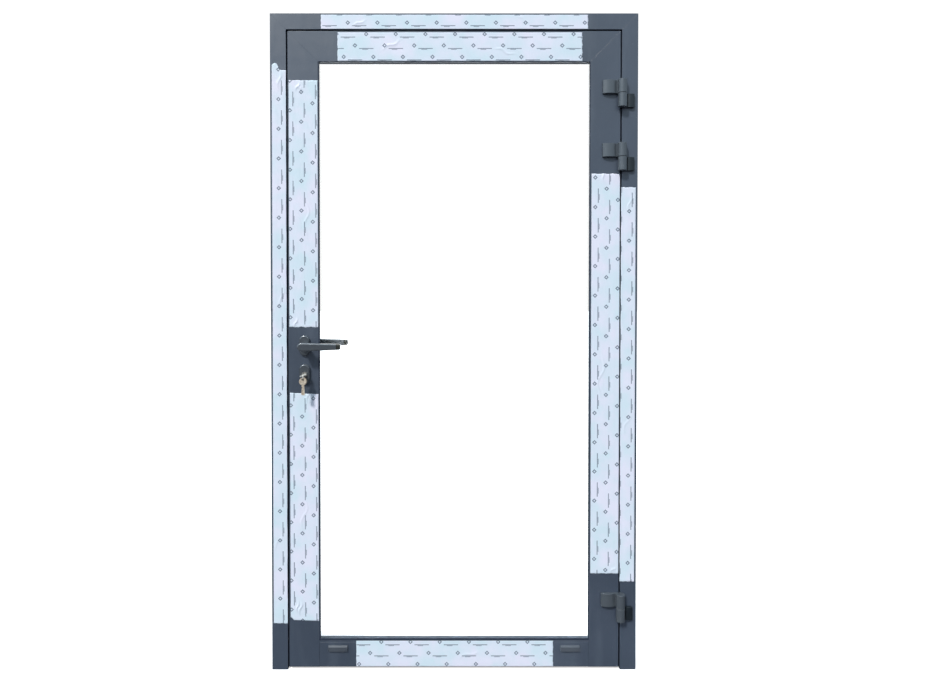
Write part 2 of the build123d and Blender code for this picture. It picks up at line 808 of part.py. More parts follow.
with BuildPart() as hinge_screws_leaf:
    wing_screw_set(-1, leaf_wing_reach, 1)
save(hinge_screws_leaf.part, "hinge_screws_leaf")

with BuildPart() as hinge_screws_frame:
    wing_screw_set(1, frame_wing_reach, 0)
save(hinge_screws_frame.part, "hinge_screws_frame")

# Lock: case, faceplate, screws, follower, latch and dead bolt.
plate_face = lock_plane - plate_thick
case_end = spindle_x + case_back
plate_low = case_low - plate_overhang
plate_high = case_high + plate_overhang
latch_z = handle_height + latch_rise
dead_bolt_z = handle_height - dead_bolt_drop


def bolt_slot(x_end, middle, height, mode=Mode.SUBTRACT):
    """The channel that a bolt slides in, from the faceplate to the given end."""
    side = bolt_thick / 2 + bolt_clearance
    reach = height / 2 + bolt_clearance
    block(plate_face, x_end, -side, side, middle - reach, middle + reach, mode)


with BuildPart() as lock_case:
    block(lock_plane, case_end, -case_thick / 2, case_thick / 2, case_low, case_high)
    bolt_slot(plate_face + latch_length + bolt_clearance, latch_z, latch_height)
    bolt_slot(plate_face + dead_bolt_length + bolt_clearance, dead_bolt_z, dead_bolt_height)
    with BuildSketch(facing_out(spindle_x, case_thick / 2, handle_height)):
        Circle(follower_radius + running_clearance)
    extrude(amount=case_thick, mode=Mode.SUBTRACT)
    with BuildSketch(facing_out(spindle_x, case_thick / 2, cylinder_z)):
        euro_profile(cylinder_clearance)
    extrude(amount=case_thick, mode=Mode.SUBTRACT)
    with BuildSketch(facing_out(spindle_x, cam_thick / 2 + cam_clearance, cylinder_z)):
        Circle(cam_tongue + cam_clearance)
    extrude(amount=cam_thick + 2 * cam_clearance, mode=Mode.SUBTRACT)
    for level in (case_low + plate_screw_inset, case_high - plate_screw_inset):
        plate_screw(plate_face, 1, level, plate_screw_length, Mode.SUBTRACT, 0)
save(lock_case.part, "lock_case")

with BuildPart() as lock_faceplate:
    block(plate_face, lock_plane, -plate_width / 2, plate_width / 2, plate_low, plate_high)
    fillet(lock_faceplate.edges().filter_by(Axis.X), wall)
    bolt_slot(lock_plane, latch_z, latch_height)
    bolt_slot(lock_plane, dead_bolt_z, dead_bolt_height)
    for level in (case_low + plate_screw_inset, case_high - plate_screw_inset):
        plate_screw(plate_face, 1, level, plate_thick, Mode.SUBTRACT, 0)
save(lock_faceplate.part, "lock_faceplate")

with BuildPart() as lock_screws:
    for level in (case_low + plate_screw_inset, case_high - plate_screw_inset):
        plate_screw(plate_face, 1, level, plate_screw_length)
save(lock_screws.part, "lock_screws")

# The key holds the latch drawn back, so its nose is level with the faceplate.
with BuildPart() as latch_bolt:
    low_z = latch_z - latch_height / 2
    with BuildSketch(Plane(origin=(0, 0, low_z))):
        with BuildLine():
            Polyline(
                (plate_face, -bolt_thick / 2),
                (plate_face + latch_length, -bolt_thick / 2),
                (plate_face + latch_length, bolt_thick / 2),
                (plate_face + latch_bevel, bolt_thick / 2),
                (plate_face, -bolt_thick / 4),
                close=True,
            )
        make_face()
    extrude(amount=latch_height)
save(latch_bolt.part, "latch_bolt")

with BuildPart() as dead_bolt:
    side = bolt_thick / 2
    reach = dead_bolt_height / 2
    block(plate_face, plate_face + dead_bolt_length, -side, side, dead_bolt_z - reach, dead_bolt_z + reach)
    chamfer(dead_bolt.faces().sort_by(Axis.X)[0].edges(), edge_radius)
save(dead_bolt.part, "dead_bolt")

with BuildPart() as lock_follower:
    with BuildSketch(facing_out(spindle_x, case_thick / 2, handle_height)):
        Circle(follower_radius)
        square = spindle_size + 2 * spindle_clearance
        Rectangle(square, square, mode=Mode.SUBTRACT)
    extrude(amount=case_thick)
save(lock_follower.part, "lock_follower")

# Handles: the outer lever is mirrored to make the inner one.
spindle_half = -outside + spindle_in_neck


def rose(hole_radius, at_z):
    """An oval rose on the outside face, with a rounded front edge."""
    with BuildPart() as plate:
        with BuildSketch(facing_out(spindle_x, outside, at_z)):
            oval(rose_width, rose_height)
        extrude(amount=rose_thick)
        fillet(plate.faces().sort_by(Axis.Y)[0].edges(), rose_edge)
        with BuildSketch(facing_out(spindle_x, outside, at_z)):
            if hole_radius:
                Circle(hole_radius)
            else:
                euro_profile(cylinder_clearance)
        extrude(amount=rose_thick, mode=Mode.SUBTRACT)
    return plate.part


def face_band(stand):
    """Depths just before and behind a face that stands off the outside."""
    return outside - stand - running_clearance, outside - stand + running_clearance


def lever():
    """An outer lever handle: a flared neck and a bar that thins from a round root to its tip."""
    back = lever_stand - lever_thick
    tip_x = lever_length - lever_tip_radius
    tip_rise = lever_tip_height / 2 - lever_tip_radius
    with BuildPart() as handle:
        # Seen from outside: a round root and two round tip corners, joined by their tangents.
        with BuildSketch(facing_out(spindle_x, outside - back, handle_height)) as face:
            with Locations((0, -lever_drop)):
                Circle(lever_root_radius)
            with Locations((tip_x, tip_rise), (tip_x, -tip_rise)):
                Circle(lever_tip_radius)
            make_hull()
        extrude(face.sketch, amount=lever_thick)
        fillet(handle.edges().filter_by_position(Axis.Y, *face_band(back)), lever_edge)
        fillet(handle.edges().filter_by_position(Axis.Y, *face_band(lever_stand)), lever_edge)
        neck = facing_out(spindle_x, outside - rose_thick, handle_height)
        with Locations(neck.location):
            Cone(
                neck_radius,
                neck_radius + neck_flare,
                back + lever_edge - rose_thick,
                align=(Align.CENTER, Align.CENTER, Align.MIN),
            )
        with BuildSketch(neck) as journal:
            Circle(journal_radius - running_clearance)
        extrude(journal.sketch, amount=-rose_thick + wall)
        with BuildSketch(facing_out(spindle_x, outside, handle_height)) as hole:
            Rectangle(spindle_size, spindle_size)
        extrude(hole.sketch, amount=spindle_in_neck, mode=Mode.SUBTRACT)
    return handle.part


def inner_copy(piece):
    """The same piece on the inside face, mirrored through the middle of the profile."""
    with BuildPart() as copy:
        mirror(piece, about=Plane.XZ, mode=Mode.ADD)
    return copy.part


outer_rose = rose(journal_radius, handle_height)
outer_escutcheon = rose(0, cylinder_z)
outer_lever = lever()
save(outer_rose, "handle_rose_outer")
save(inner_copy(outer_rose), "handle_rose_inner")
save(outer_escutcheon, "escutcheon_outer")
save(inner_copy(outer_escutcheon), "escutcheon_inner")
save(outer_lever, "handle_outer")
save(inner_copy(outer_lever), "handle_inner")

with BuildPart() as handle_spindle:
    with BuildSketch(facing_out(spindle_x, spindle_half, handle_height)):
        Rectangle(spindle_size, spindle_size)
    extrude(amount=2 * spindle_half)
save(handle_spindle.part, "handle_spindle")

# Profile cylinder with its plugs, the key and the thumbturn.
with BuildPart() as lock_cylinder:
    with BuildSketch(facing_out(spindle_x, -cylinder_nose, cylinder_z)):
        euro_profile()
    extrude(amount=-2 * cylinder_nose)
    with BuildSketch(facing_out(spindle_x, -cylinder_nose, cylinder_z)):
        Circle(plug_radius)
    extrude(amount=-2 * cylinder_nose, mode=Mode.SUBTRACT)
    # The middle is cut away down to a bridge, so that the cam can turn.
    with BuildSketch(facing_out(spindle_x, cam_thick / 2 + cam_clearance, cylinder_z)):
        Circle(cam_tongue + cam_clearance)
    extrude(amount=cam_thick + 2 * cam_clearance, mode=Mode.SUBTRACT)
save(lock_cylinder.part, "lock_cylinder")

with BuildPart() as cylinder_cam:
    with BuildSketch(facing_out(spindle_x, cam_thick / 2, cylinder_z, key_turned)):
        Circle(cylinder_radius)
        with Locations((0, cam_tongue / 2)):
            Rectangle(cam_tongue_width, cam_tongue)
        add(Circle(cam_tongue, mode=Mode.PRIVATE), mode=Mode.INTERSECT)
    extrude(amount=cam_thick)
save(cylinder_cam.part, "cylinder_cam")

plug_length = -cylinder_nose - cam_thick / 2
with BuildPart() as cylinder_plug:
    with BuildSketch(facing_out(spindle_x, -cam_thick / 2, cylinder_z, key_turned)):
        Circle(plug_radius - running_clearance)
        Rectangle(keyway_width, keyway_height, mode=Mode.SUBTRACT)
    extrude(amount=plug_length)
save(cylinder_plug.part, "cylinder_plug")


def key_outline(notches=5):
    """A flat key: round bow with a ring hole, neck and a blade with cuts along one edge."""
    half = key_blade / 2
    pitch = key_blade_length / (notches + 2)
    with Locations((bow_centre, 0)):
        Circle(key_bow_radius)
    with Locations(((bow_centre - key_blade_length) / 2, 0)):
        Rectangle(bow_centre + key_blade_length, key_blade)
    with Locations(*[(-pitch * (index + 1), half) for index in range(notches)]):
        RegularPolygon(pitch / 2, 4, mode=Mode.SUBTRACT)
    with Locations((-key_blade_length, half)):
        Rectangle(half, half, rotation=45, mode=Mode.SUBTRACT)
    with Locations((bow_hole, 0)):
        Circle(key_hole_radius, mode=Mode.SUBTRACT)


with BuildPart() as key:
    side_dir = (cos(radians(key_turned)), 0, -sin(radians(key_turned)))
    with BuildSketch(Plane(origin=(spindle_x, cylinder_nose, cylinder_z), x_dir=(0, -1, 0), z_dir=side_dir)):
        key_outline()
    extrude(amount=key_thick / 2, both=True)
save(key.part, "key")

ring_x = spindle_x + ring_shift
ring_y = cylinder_nose - bow_rim
with BuildPart() as key_ring:
    with Locations(Location((ring_x, ring_y, ring_z), (0, 90, 0))):
        Torus(ring_radius, ring_wire)
save(key_ring.part, "key_ring")

hang_z = ring_z - ring_radius + ring_wire + hang_gap
with BuildPart() as spare_keys:
    for toward, (aside, lean) in zip((-1, 1), spare_hangs):
        # The blade hangs down, so the outline's first axis points up from the hole.
        up = Vector(-sin(radians(lean)), 0, cos(radians(lean)))
        hang = Vector(ring_x + aside, ring_y + toward * spare_spacing / 2, hang_z)
        origin = hang - up * (bow_hole + key_hole_radius)
        with BuildSketch(Plane(origin=origin, x_dir=up, z_dir=(0, -1, 0))) as spare:
            key_outline()
        extrude(spare.sketch, amount=key_thick / 2, both=True)
save(spare_keys.part, "spare_keys")

with BuildPart() as thumbturn:
    with BuildSketch(facing_out(spindle_x, -cylinder_nose + turn_edge, cylinder_z)):
        Circle(plug_radius - running_clearance)
    extrude(amount=plug_length + turn_edge - cam_clearance)
    with BuildSketch(facing_out(spindle_x, -cylinder_nose + turn_stand, cylinder_z)):
        SlotOverall(turn_width, turn_thick, rotation=90)
    extrude(amount=turn_stand - bolt_clearance, taper=-4)
    fillet(thumbturn.faces().sort_by(Axis.Y)[-1].edges(), turn_edge)
save(thumbturn.part, "thumbturn")

# Drain caps: small hoods, open below, over the drain slots.
with BuildPart() as drain_caps:
    low = cap_centre_height - cap_height / 2
    high = cap_centre_height + cap_height / 2
    shoulder = high - cap_bevel
    for middle in (-cap_offset, cap_offset):
        left = middle - cap_width / 2
        right = middle + cap_width / 2
        # Seen from the side: a flat front with a slope on top of it.
        with BuildSketch(Plane(origin=(right, outside, low), x_dir=(0, -1, 0), z_dir=(-1, 0, 0))) as hood:
            with BuildLine():
                Polyline(
                    (0, 0),
                    (cap_stand, 0),
                    (cap_stand, cap_height - cap_bevel),
                    (cap_wall, cap_height),
                    (0, cap_height),
                    close=True,
                )
            make_face()
        extrude(hood.sketch, amount=cap_width)
        front = outside - cap_stand + cap_wall
        block(left + cap_wall, right - cap_wall, front, outside, low, shoulder, Mode.SUBTRACT)
save(drain_caps.part, "drain_caps")

# Protective film on the outside faces.


def film(x_low, x_high, z_low, z_high):
    """A flat strip stuck to the outside face."""
    block(x_low, x_high, outside - film_thick, outside, z_low, z_high)


jamb_film_heights = {
    "lock": (lock_jamb_film_rise, door_height - lock_jamb_film_drop),
    "hinge": (
        hinge_splits["bottom"] + hinge_jamb_film_above,
        hinge_splits["middle"] - hinge_jamb_film_below,
    ),
}
hinge_stile_film = (
    hinge_splits["bottom"] + hinge_stile_film_above,
    hinge_splits["middle"] - hinge_stile_film_below,
)
stile_films = (
    ("lock", handle_height + film_above_handle, leaf_top - stile_film_drop),
    ("lock", stile_film_rise, cylinder_z - film_below_cylinder),
    ("hinge", *hinge_stile_film),
)

with BuildPart() as frame_films:
    film(-film_head_half, film_head_half, door_height - frame_face + edge_radius, door_height - film_edge)
    for place, x_outer, toward in (("lock", -half_width, 1), ("hinge", half_width, -1)):
        low, high = sorted((x_outer + toward * film_edge, x_outer + toward * (frame_face - edge_radius)))
        film(low, high, *jamb_film_heights[place])
    tear_x = -half_width + film_edge + film_tear_width
    tear_high = jamb_film_heights["lock"][1]
    tear_low = tear_high - film_tear_depth
    block(tear_x, tear_x + frame_face, outside - film_thick, outside, tear_low, tear_high, Mode.SUBTRACT)
save(frame_films.part, "frame_films")

with BuildPart() as leaf_films:
    film(film_top_from, film_top_to, leaf_top - leaf_face + film_edge, leaf_top - film_edge)
    film(-film_rail_half, film_rail_half, leaf_bottom + edge_radius, leaf_bottom + rail_face - edge_radius)
    for place, low_z, high_z in stile_films:
        if place == "lock":
            film(leaf_left + edge_radius, leaf_left + leaf_face - edge_radius, low_z, high_z)
        else:
            film(leaf_right - leaf_face + film_edge, leaf_right - edge_radius, low_z, high_z)
save(leaf_films.part, "leaf_films")
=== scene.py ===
import math

import bpy
import numpy as np
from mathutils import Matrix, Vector


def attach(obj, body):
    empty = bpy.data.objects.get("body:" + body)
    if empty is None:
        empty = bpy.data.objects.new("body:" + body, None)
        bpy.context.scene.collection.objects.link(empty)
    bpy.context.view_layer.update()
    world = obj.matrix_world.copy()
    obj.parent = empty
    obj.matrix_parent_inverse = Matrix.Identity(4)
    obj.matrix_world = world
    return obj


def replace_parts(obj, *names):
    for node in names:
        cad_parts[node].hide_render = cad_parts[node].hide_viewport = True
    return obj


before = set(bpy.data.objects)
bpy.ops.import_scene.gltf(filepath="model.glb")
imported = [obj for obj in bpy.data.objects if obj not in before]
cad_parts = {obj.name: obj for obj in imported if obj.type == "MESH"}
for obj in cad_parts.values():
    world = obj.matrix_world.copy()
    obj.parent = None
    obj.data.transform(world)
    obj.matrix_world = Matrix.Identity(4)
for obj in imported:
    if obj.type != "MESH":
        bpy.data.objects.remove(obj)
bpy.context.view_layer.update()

# Profiles of the frame and the leaf, and the beads that hold the glass.
# Extruded aluminium, sawn to a mitre, powder coated a satin anthracite and crimped on corner cleats.
# The coat has a fine orange peel, drifts a little in colour and has some dust and wiped marks on it.
coat_colour = (0.044, 0.060, 0.089, 1.0)
coat_dust = (0.26, 0.30, 0.35, 1.0)
coat_roughness = 0.36
coat_lighter = 1.22
coat_darker = 0.84
dust_veil = 0.16
dust_specks = 0.35
peel_depth = 0.00006
mitre_corner = (0.585, 2.1)
rail_end = 0.433
opening_low = 0.089
seam_width = 0.00022
seam_share = 0.75
seam_colour = (0.008, 0.009, 0.012, 1.0)


def feed(node, socket, value):
    """Give one socket of a node a link or a plain value."""
    if isinstance(value, bpy.types.NodeSocket):
        node.id_data.links.new(value, node.inputs[socket])
    else:
        node.inputs[socket].default_value = value


def add(tree, kind, feeds=None, **settings):
    """Add a shader node, set its properties, and feed its sockets, by name or number."""
    node = tree.nodes.new(kind)
    for name, value in settings.items():
        setattr(node, name, value)
    for socket, value in (feeds or {}).items():
        feed(node, socket, value)
    return node


def maths(tree, operation, *values):
    """Output of a Math node on up to three links or numbers."""
    return add(tree, "ShaderNodeMath", dict(enumerate(values)), operation=operation).outputs[0]


def blend(tree, share, low, high):
    """Output of a colour mix that goes from low to high as share goes from 0 to 1."""
    node = add(tree, "ShaderNodeMix", {0: share, 6: low, 7: high}, data_type="RGBA")
    return node.outputs[2]


def noise(tree, where, scale, detail=3.0, roughness=0.5):
    """Output of a 3-D noise, about 0.5 on average, with so many cells to the metre."""
    feeds = {"Vector": where, "Scale": scale, "Detail": detail, "Roughness": roughness}
    return add(tree, "ShaderNodeTexNoise", feeds).outputs[0]


def ramp(tree, value, low, high, to_low=0.0, to_high=1.0):
    """Output of a clamped straight ramp of a value between two levels."""
    feeds = {0: value, 1: low, 2: high, 3: to_low, 4: to_high}
    return add(tree, "ShaderNodeMapRange", feeds).outputs[0]


def stretched(tree, where, x, y, z):
    """A position multiplied along each axis, for grain that runs one way."""
    feeds = {0: where, 1: (x, y, z)}
    return add(tree, "ShaderNodeVectorMath", feeds, operation="MULTIPLY").outputs[0]


def new_group(name, inputs, outputs):
    """A node group with named sockets. Returns its tree, its inputs and its output node's sockets."""
    tree = bpy.data.node_groups.new(name, "ShaderNodeTree")
    for label, kind in inputs:
        tree.interface.new_socket(label, in_out="INPUT", socket_type=f"NodeSocket{kind}")
    for label, kind in outputs:
        tree.interface.new_socket(label, in_out="OUTPUT", socket_type=f"NodeSocket{kind}")
    return tree, tree.nodes.new("NodeGroupInput").outputs, tree.nodes.new("NodeGroupOutput").inputs


def place_group(tree, group, feeds):
    """Place a node group in a material and feed its sockets."""
    return add(tree, "ShaderNodeGroup", feeds, node_tree=group).outputs


def new_material(name):
    """A material with a Principled shader. Returns it, its tree, the shader and the object's own position."""
    material = bpy.data.materials.new(name)
    material.use_nodes = True
    tree = material.node_tree
    position = tree.nodes.new("ShaderNodeTexCoord").outputs["Object"]
    return material, tree, tree.nodes["Principled BSDF"], position


def bump(tree, shader, height, depth):
    """Feed a height, in parts of depth in metres, to the shader's normal."""
    node = add(tree, "ShaderNodeBump", {"Strength": 1.0, "Distance": depth, "Height": height})
    feed(shader, "Normal", node.outputs[0])


def dress(material, *nodes):
    """Give CAD nodes this material in each of their slots."""
    for node in nodes:
        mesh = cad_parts[node].data
        if not mesh.materials:
            mesh.materials.append(material)
        for index in range(len(mesh.materials)):
            mesh.materials[index] = material


coat_tree, given, out = new_group(
    "coat_surface",
    (
        ("Position", "Vector"), ("Colour", "Color"), ("Dust colour", "Color"),
        ("Roughness", "Float"), ("Dust", "Float"),
    ),
    (("Colour", "Color"), ("Roughness", "Float"), ("Height", "Float")),
)
drift = noise(coat_tree, given["Position"], 2.3, 4.0)
wiped = noise(coat_tree, stretched(coat_tree, given["Position"], 9.0, 9.0, 1.6), 1.0, 5.0, 0.62)
specks = ramp(coat_tree, noise(coat_tree, given["Position"], 420.0, 2.0), 0.70, 0.76)
lighter = {"Color": given["Colour"], "Value": coat_lighter, "Saturation": 0.92}
light_coat = add(coat_tree, "ShaderNodeHueSaturation", lighter)
dark_coat = add(coat_tree, "ShaderNodeHueSaturation", {"Color": given["Colour"], "Value": coat_darker})
drifted = blend(coat_tree, ramp(coat_tree, drift, 0.32, 0.68), dark_coat.outputs[0], light_coat.outputs[0])
veil = maths(coat_tree, "MULTIPLY", ramp(coat_tree, wiped, 0.50, 0.78, 0.0, dust_veil), given["Dust"])
speck = maths(coat_tree, "MULTIPLY", specks, maths(coat_tree, "MULTIPLY", given["Dust"], dust_specks))
dusty = maths(coat_tree, "ADD", veil, speck)
coat_tree.links.new(blend(coat_tree, dusty, drifted, given["Dust colour"]), out["Colour"])
rougher = maths(coat_tree, "MULTIPLY_ADD", dusty, 0.9, given["Roughness"])
rough_drift = ramp(coat_tree, noise(coat_tree, given["Position"], 30.0), 0.3, 0.7, -0.04, 0.04)
coat_tree.links.new(maths(coat_tree, "ADD", rougher, rough_drift), out["Roughness"])
coat_tree.links.new(noise(coat_tree, given["Position"], 900.0, 2.0, 0.6), out["Height"])

profile_coat, tree, shader, position = new_material("profile_coat")
coat = place_group(tree, coat_tree, {
    "Position": position, "Colour": coat_colour, "Dust colour": coat_dust,
    "Roughness": coat_roughness, "Dust": 1.0,
})
axes = add(tree, "ShaderNodeSeparateXYZ", {0: position}).outputs
from_side = maths(tree, "SUBTRACT", mitre_corner[0], maths(tree, "ABSOLUTE", axes[0]))
from_top = maths(tree, "SUBTRACT", mitre_corner[1], axes[2])
off_mitre = maths(tree, "ABSOLUTE", maths(tree, "SUBTRACT", from_side, from_top))
mitre = maths(tree, "LESS_THAN", off_mitre, seam_width)
off_rail = maths(tree, "ABSOLUTE", maths(tree, "SUBTRACT", maths(tree, "ABSOLUTE", axes[0]), rail_end))
on_rail_end = maths(tree, "LESS_THAN", off_rail, seam_width)
rail_line = maths(tree, "MULTIPLY", on_rail_end, maths(tree, "LESS_THAN", axes[2], opening_low))
seam = maths(tree, "MAXIMUM", mitre, rail_line)
seamed = blend(tree, maths(tree, "MULTIPLY", seam, seam_share), coat["Colour"], seam_colour)
feed(shader, "Base Color", seamed)
feed(shader, "Roughness", coat["Roughness"])
feed(shader, "Specular IOR Level", 0.9)
bump(tree, shader, maths(tree, "SUBTRACT", coat["Height"], maths(tree, "MULTIPLY", seam, 2.0)), peel_depth)

dress(
    profile_coat,
    "frame_jamb_lock", "frame_jamb_hinge", "frame_head",
    "leaf_stile_lock", "leaf_stile_hinge", "leaf_rail_top", "leaf_rail_bottom",
    "glazing_bead_lock", "glazing_bead_hinge", "glazing_bead_top", "glazing_bead_bottom",
)

# Strips that hold the outer and inner shell of each bar together.
# Glass-fibre filled polyamide, extruded, rolled into the shells. Matt black with a faint lengthwise grain.
strip_colour = (0.018, 0.018, 0.019, 1.0)
strip_fibre = (0.055, 0.055, 0.056, 1.0)
strip_roughness = (0.62, 0.78)
strip_relief = 0.00008

polyamide, tree, shader, position = new_material("polyamide_strip")
grain = noise(tree, stretched(tree, position, 1600.0, 1600.0, 90.0), 1.0, 3.0)
feed(shader, "Base Color", blend(tree, ramp(tree, grain, 0.52, 0.75), strip_colour, strip_fibre))
feed(shader, "Roughness", ramp(tree, grain, 0.3, 0.7, *strip_roughness))
bump(tree, shader, grain, strip_relief)
dress(polyamide, "frame_thermal_strips", "leaf_thermal_strips")

# Cleats inside the corners, and the connectors in the ends of the bottom rail.
# Die-cast aluminium, pushed into the chambers and glued. The skin is dull and a little mottled.
cast_light = (0.62, 0.63, 0.64, 1.0)
cast_dark = (0.40, 0.41, 0.42, 1.0)
cast_roughness = (0.42, 0.62)
cast_relief = 0.00015

cast_metal, tree, shader, position = new_material("cast_cleat")
mottle = noise(tree, position, 160.0, 4.0, 0.6)
feed(shader, "Base Color", blend(tree, ramp(tree, mottle, 0.35, 0.65), cast_dark, cast_light))
feed(shader, "Roughness", ramp(tree, mottle, 0.3, 0.7, *cast_roughness))
feed(shader, "Metallic", 1.0)
bump(tree, shader, mottle, cast_relief)
dress(cast_metal, "frame_corner_cleats", "leaf_corner_cleats")

# Gaskets on the stops and round the glass, and the drop seal under the leaf.
# Black EPDM rubber, extruded, pressed into grooves. Matt, with a pale bloom and fine draw lines.
rubber_colour = (0.021, 0.029, 0.049, 1.0)
rubber_bloom = (0.038, 0.047, 0.070, 1.0)
rubber_roughness = (0.55, 0.72)
draw_relief = 0.00005

rubber, tree, shader, position = new_material("gasket_rubber")
bloom = noise(tree, position, 55.0, 5.0, 0.6)
feed(shader, "Base Color", blend(tree, ramp(tree, bloom, 0.45, 0.8), rubber_colour, rubber_bloom))
feed(shader, "Roughness", ramp(tree, bloom, 0.3, 0.7, *rubber_roughness))
feed(shader, "Specular IOR Level", 0.35)
bump(tree, shader, noise(tree, position, 1300.0, 2.0), draw_relief)
dress(rubber, "frame_gasket", "leaf_gasket", "glazing_gasket_outer", "glazing_gasket_inner", "drop_seal")

# Sill bar along the foot of the glazed opening. An extruded aluminium flat in the same coat, set flush
# on the lip of the bottom rail, so that the rail's face is a little higher than its profile.
opening_half = 0.432
sill_high = 0.0970
sill_front = -0.0350
sill_back = -0.0315


def new_piece(name, points, faces, material):
    """An object at the origin whose mesh has these points and faces, in one material."""
    mesh = bpy.data.meshes.new(name)
    mesh.from_pydata(points.tolist(), [], faces.tolist())
    mesh.materials.append(material)
    piece = bpy.data.objects.new(name, mesh)
    bpy.context.scene.collection.objects.link(piece)
    return piece


def flat_bar(name, low, high):
    """A closed block between two opposite corners, its six faces pointing outwards."""
    x, y, z = np.stack([low, high], -1)
    points = np.stack(np.meshgrid(x, y, z, indexing="ij"), -1).reshape(-1, 3)
    sides = np.array([(0, 1, 3, 2), (4, 6, 7, 5), (0, 4, 5, 1), (2, 3, 7, 6), (0, 2, 6, 4), (1, 5, 7, 3)])
    bar = new_piece(name, points, sides, profile_coat)
    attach(bar, "leaf")


sill_start = (-opening_half, sill_front, opening_low)
sill_end = (opening_half, sill_back, sill_high)
flat_bar("glazing_sill_bar", sill_start, sill_end)

# Trim on the edge of the glazed opening, the dark line all round it. The same rubber, extruded as an angle,
# clipped over the profile's lip and mitred at the corners. It reaches further in on the lock side, where
# the extra width is painted shade for the lip's side face, which the light does not reach.
opening_high = 1.947
lip_edge = (-opening_half, opening_half, sill_high, opening_high)
# The wide reach on the lock side is painted shade: a dark strip where the lip's side face gets no light.
lip_reach_and_shade = (0.0040, 0.0008, 0.0040, 0.0004)
lip_overlap = 0.0013
lip_sheet = 0.0006
lip_depth = 0.0030
lip_face = -0.0351
lip_round_from = 0.7
lip_wall = 0.04


def trim_and_shade_ring(name):
    """A closed angle section carried round a rectangle. Each point of the section goes in from the edge
    by its first number, times the side's reach where that is positive, and stands at its second number."""
    section = np.array([
        (-lip_overlap, 0.0), (-lip_overlap, -lip_sheet), (0.0, -lip_sheet), (lip_round_from, -lip_sheet),
        (1.0, -0.4 * lip_sheet), (1.0, lip_depth), (lip_wall, lip_depth), (lip_wall, 0.0),
    ])
    inward = section[:, :1] * np.where(section[:, :1] > 0.0, np.array([lip_reach_and_shade]), 1.0)
    west, east, south, north = (np.array(lip_edge) + inward * (1.0, -1.0, 1.0, -1.0)).T
    depth = lip_face + section[:, 1]
    corners = [(west, south), (east, south), (east, north), (west, north)]
    points = np.stack([np.stack([x, depth, z], -1) for x, z in corners]).reshape(-1, 3)
    count = len(section)
    index = np.arange(4 * count).reshape(4, count)
    turned, lower = np.roll(index, -1, 0), np.roll(index, -1, 1)
    faces = np.stack([index, turned, np.roll(turned, -1, 1), lower], -1).reshape(-1, 4)
    ring = new_piece(name, points, faces, rubber)
    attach(ring, "leaf")


trim_and_shade_ring("glazing_gasket_lip_and_shade")

# Double glazing: two panes of clear float glass, 4 mm thick, with a faint green in the edge.
# A warm-edge spacer bar and black sealant hold them apart. The faces have light, wiped smears.
pane_tint = (0.985, 0.996, 0.991, 1.0)
pane_clear = (1.0, 1.0, 1.0, 1.0)
pane_index = 1.45
smear_roughness = 0.025

pane, tree, shader, position = new_material("float_glass")
smear = noise(tree, stretched(tree, position, 5.0, 5.0, 3.0), 1.0, 6.0, 0.65)
feed(shader, "Roughness", ramp(tree, smear, 0.52, 0.72, 0.0, smear_roughness))
feed(shader, "Base Color", blend(tree, ramp(tree, smear, 0.3, 0.7), pane_tint, pane_clear))
feed(shader, "Transmission Weight", 1.0)
feed(shader, "IOR", pane_index)
dress(pane, "glass_outer", "glass_inner")
for node in ("glass_outer", "glass_inner"):
    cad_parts[node].visible_shadow = False

spacer_light = (0.30, 0.31, 0.33, 1.0)
spacer_dark = (0.20, 0.21, 0.22, 1.0)
spacer_roughness = (0.38, 0.5)
dot_relief = 0.0001

spacer, tree, shader, position = new_material("spacer_bar")
drawn = noise(tree, position, 240.0, 3.0)
dots = add(tree, "ShaderNodeTexVoronoi", {"Vector": position, "Scale": 330.0}).outputs["Distance"]
feed(shader, "Base Color", blend(tree, ramp(tree, drawn, 0.4, 0.6), spacer_dark, spacer_light))
feed(shader, "Roughness", ramp(tree, drawn, 0.3, 0.7, *spacer_roughness))
feed(shader, "Metallic", 0.9)
bump(tree, shader, ramp(tree, dots, 0.1, 0.25), dot_relief)
dress(spacer, "glass_spacer")

sealant_colour = (0.012, 0.012, 0.013, 1.0)
sealant_skin = (0.03, 0.03, 0.032, 1.0)
sealant_roughness = (0.4, 0.6)
lump_relief = 0.0005

sealant, tree, shader, position = new_material("edge_sealant")
lumps = noise(tree, position, 130.0, 4.0)
feed(shader, "Base Color", blend(tree, ramp(tree, lumps, 0.4, 0.7), sealant_colour, sealant_skin))
feed(shader, "Roughness", ramp(tree, lumps, 0.3, 0.7, *sealant_roughness))
bump(tree, shader, lumps, lump_relief)
dress(sealant, "glass_edge_seal")

# Setting blocks under and beside the glass.
# Moulded plastic with a fine grained face, pushed in by hand before the beads.
block_colour = (0.05, 0.09, 0.16, 1.0)
block_scuff = (0.13, 0.18, 0.26, 1.0)
block_roughness = (0.4, 0.55)
block_relief = 0.0001

block_plastic, tree, shader, position = new_material("setting_block")
scuff = noise(tree, position, 220.0, 4.0)
feed(shader, "Base Color", blend(tree, ramp(tree, scuff, 0.5, 0.75), block_colour, block_scuff))
feed(shader, "Roughness", ramp(tree, scuff, 0.3, 0.7, *block_roughness))
bump(tree, shader, scuff, block_relief)
dress(block_plastic, "glazing_blocks")

# Barrel hinges, each a leaf wing over a frame wing on one pin. Extruded aluminium, sawn, tumbled and
# coated to match, but greyer and a little glossier than the bars. The plate of the frame wing, past the
# barrel, is coloured much darker as painted shade, standing in for the barrel's shadow on it.
hinge_colour = (0.082, 0.098, 0.114, 1.0)
hinge_worn = (0.20, 0.225, 0.25, 1.0)
hinge_roughness = 0.31
hinge_relief = 0.00008
# Painted shade: the near-black colour of the frame wing's plate past the barrel, in place of the barrel's
# shadow.
painted_shade_colour = (0.008, 0.015, 0.021, 1.0)
shade_from_axis = 0.0148
hinge_axis = 0.5315

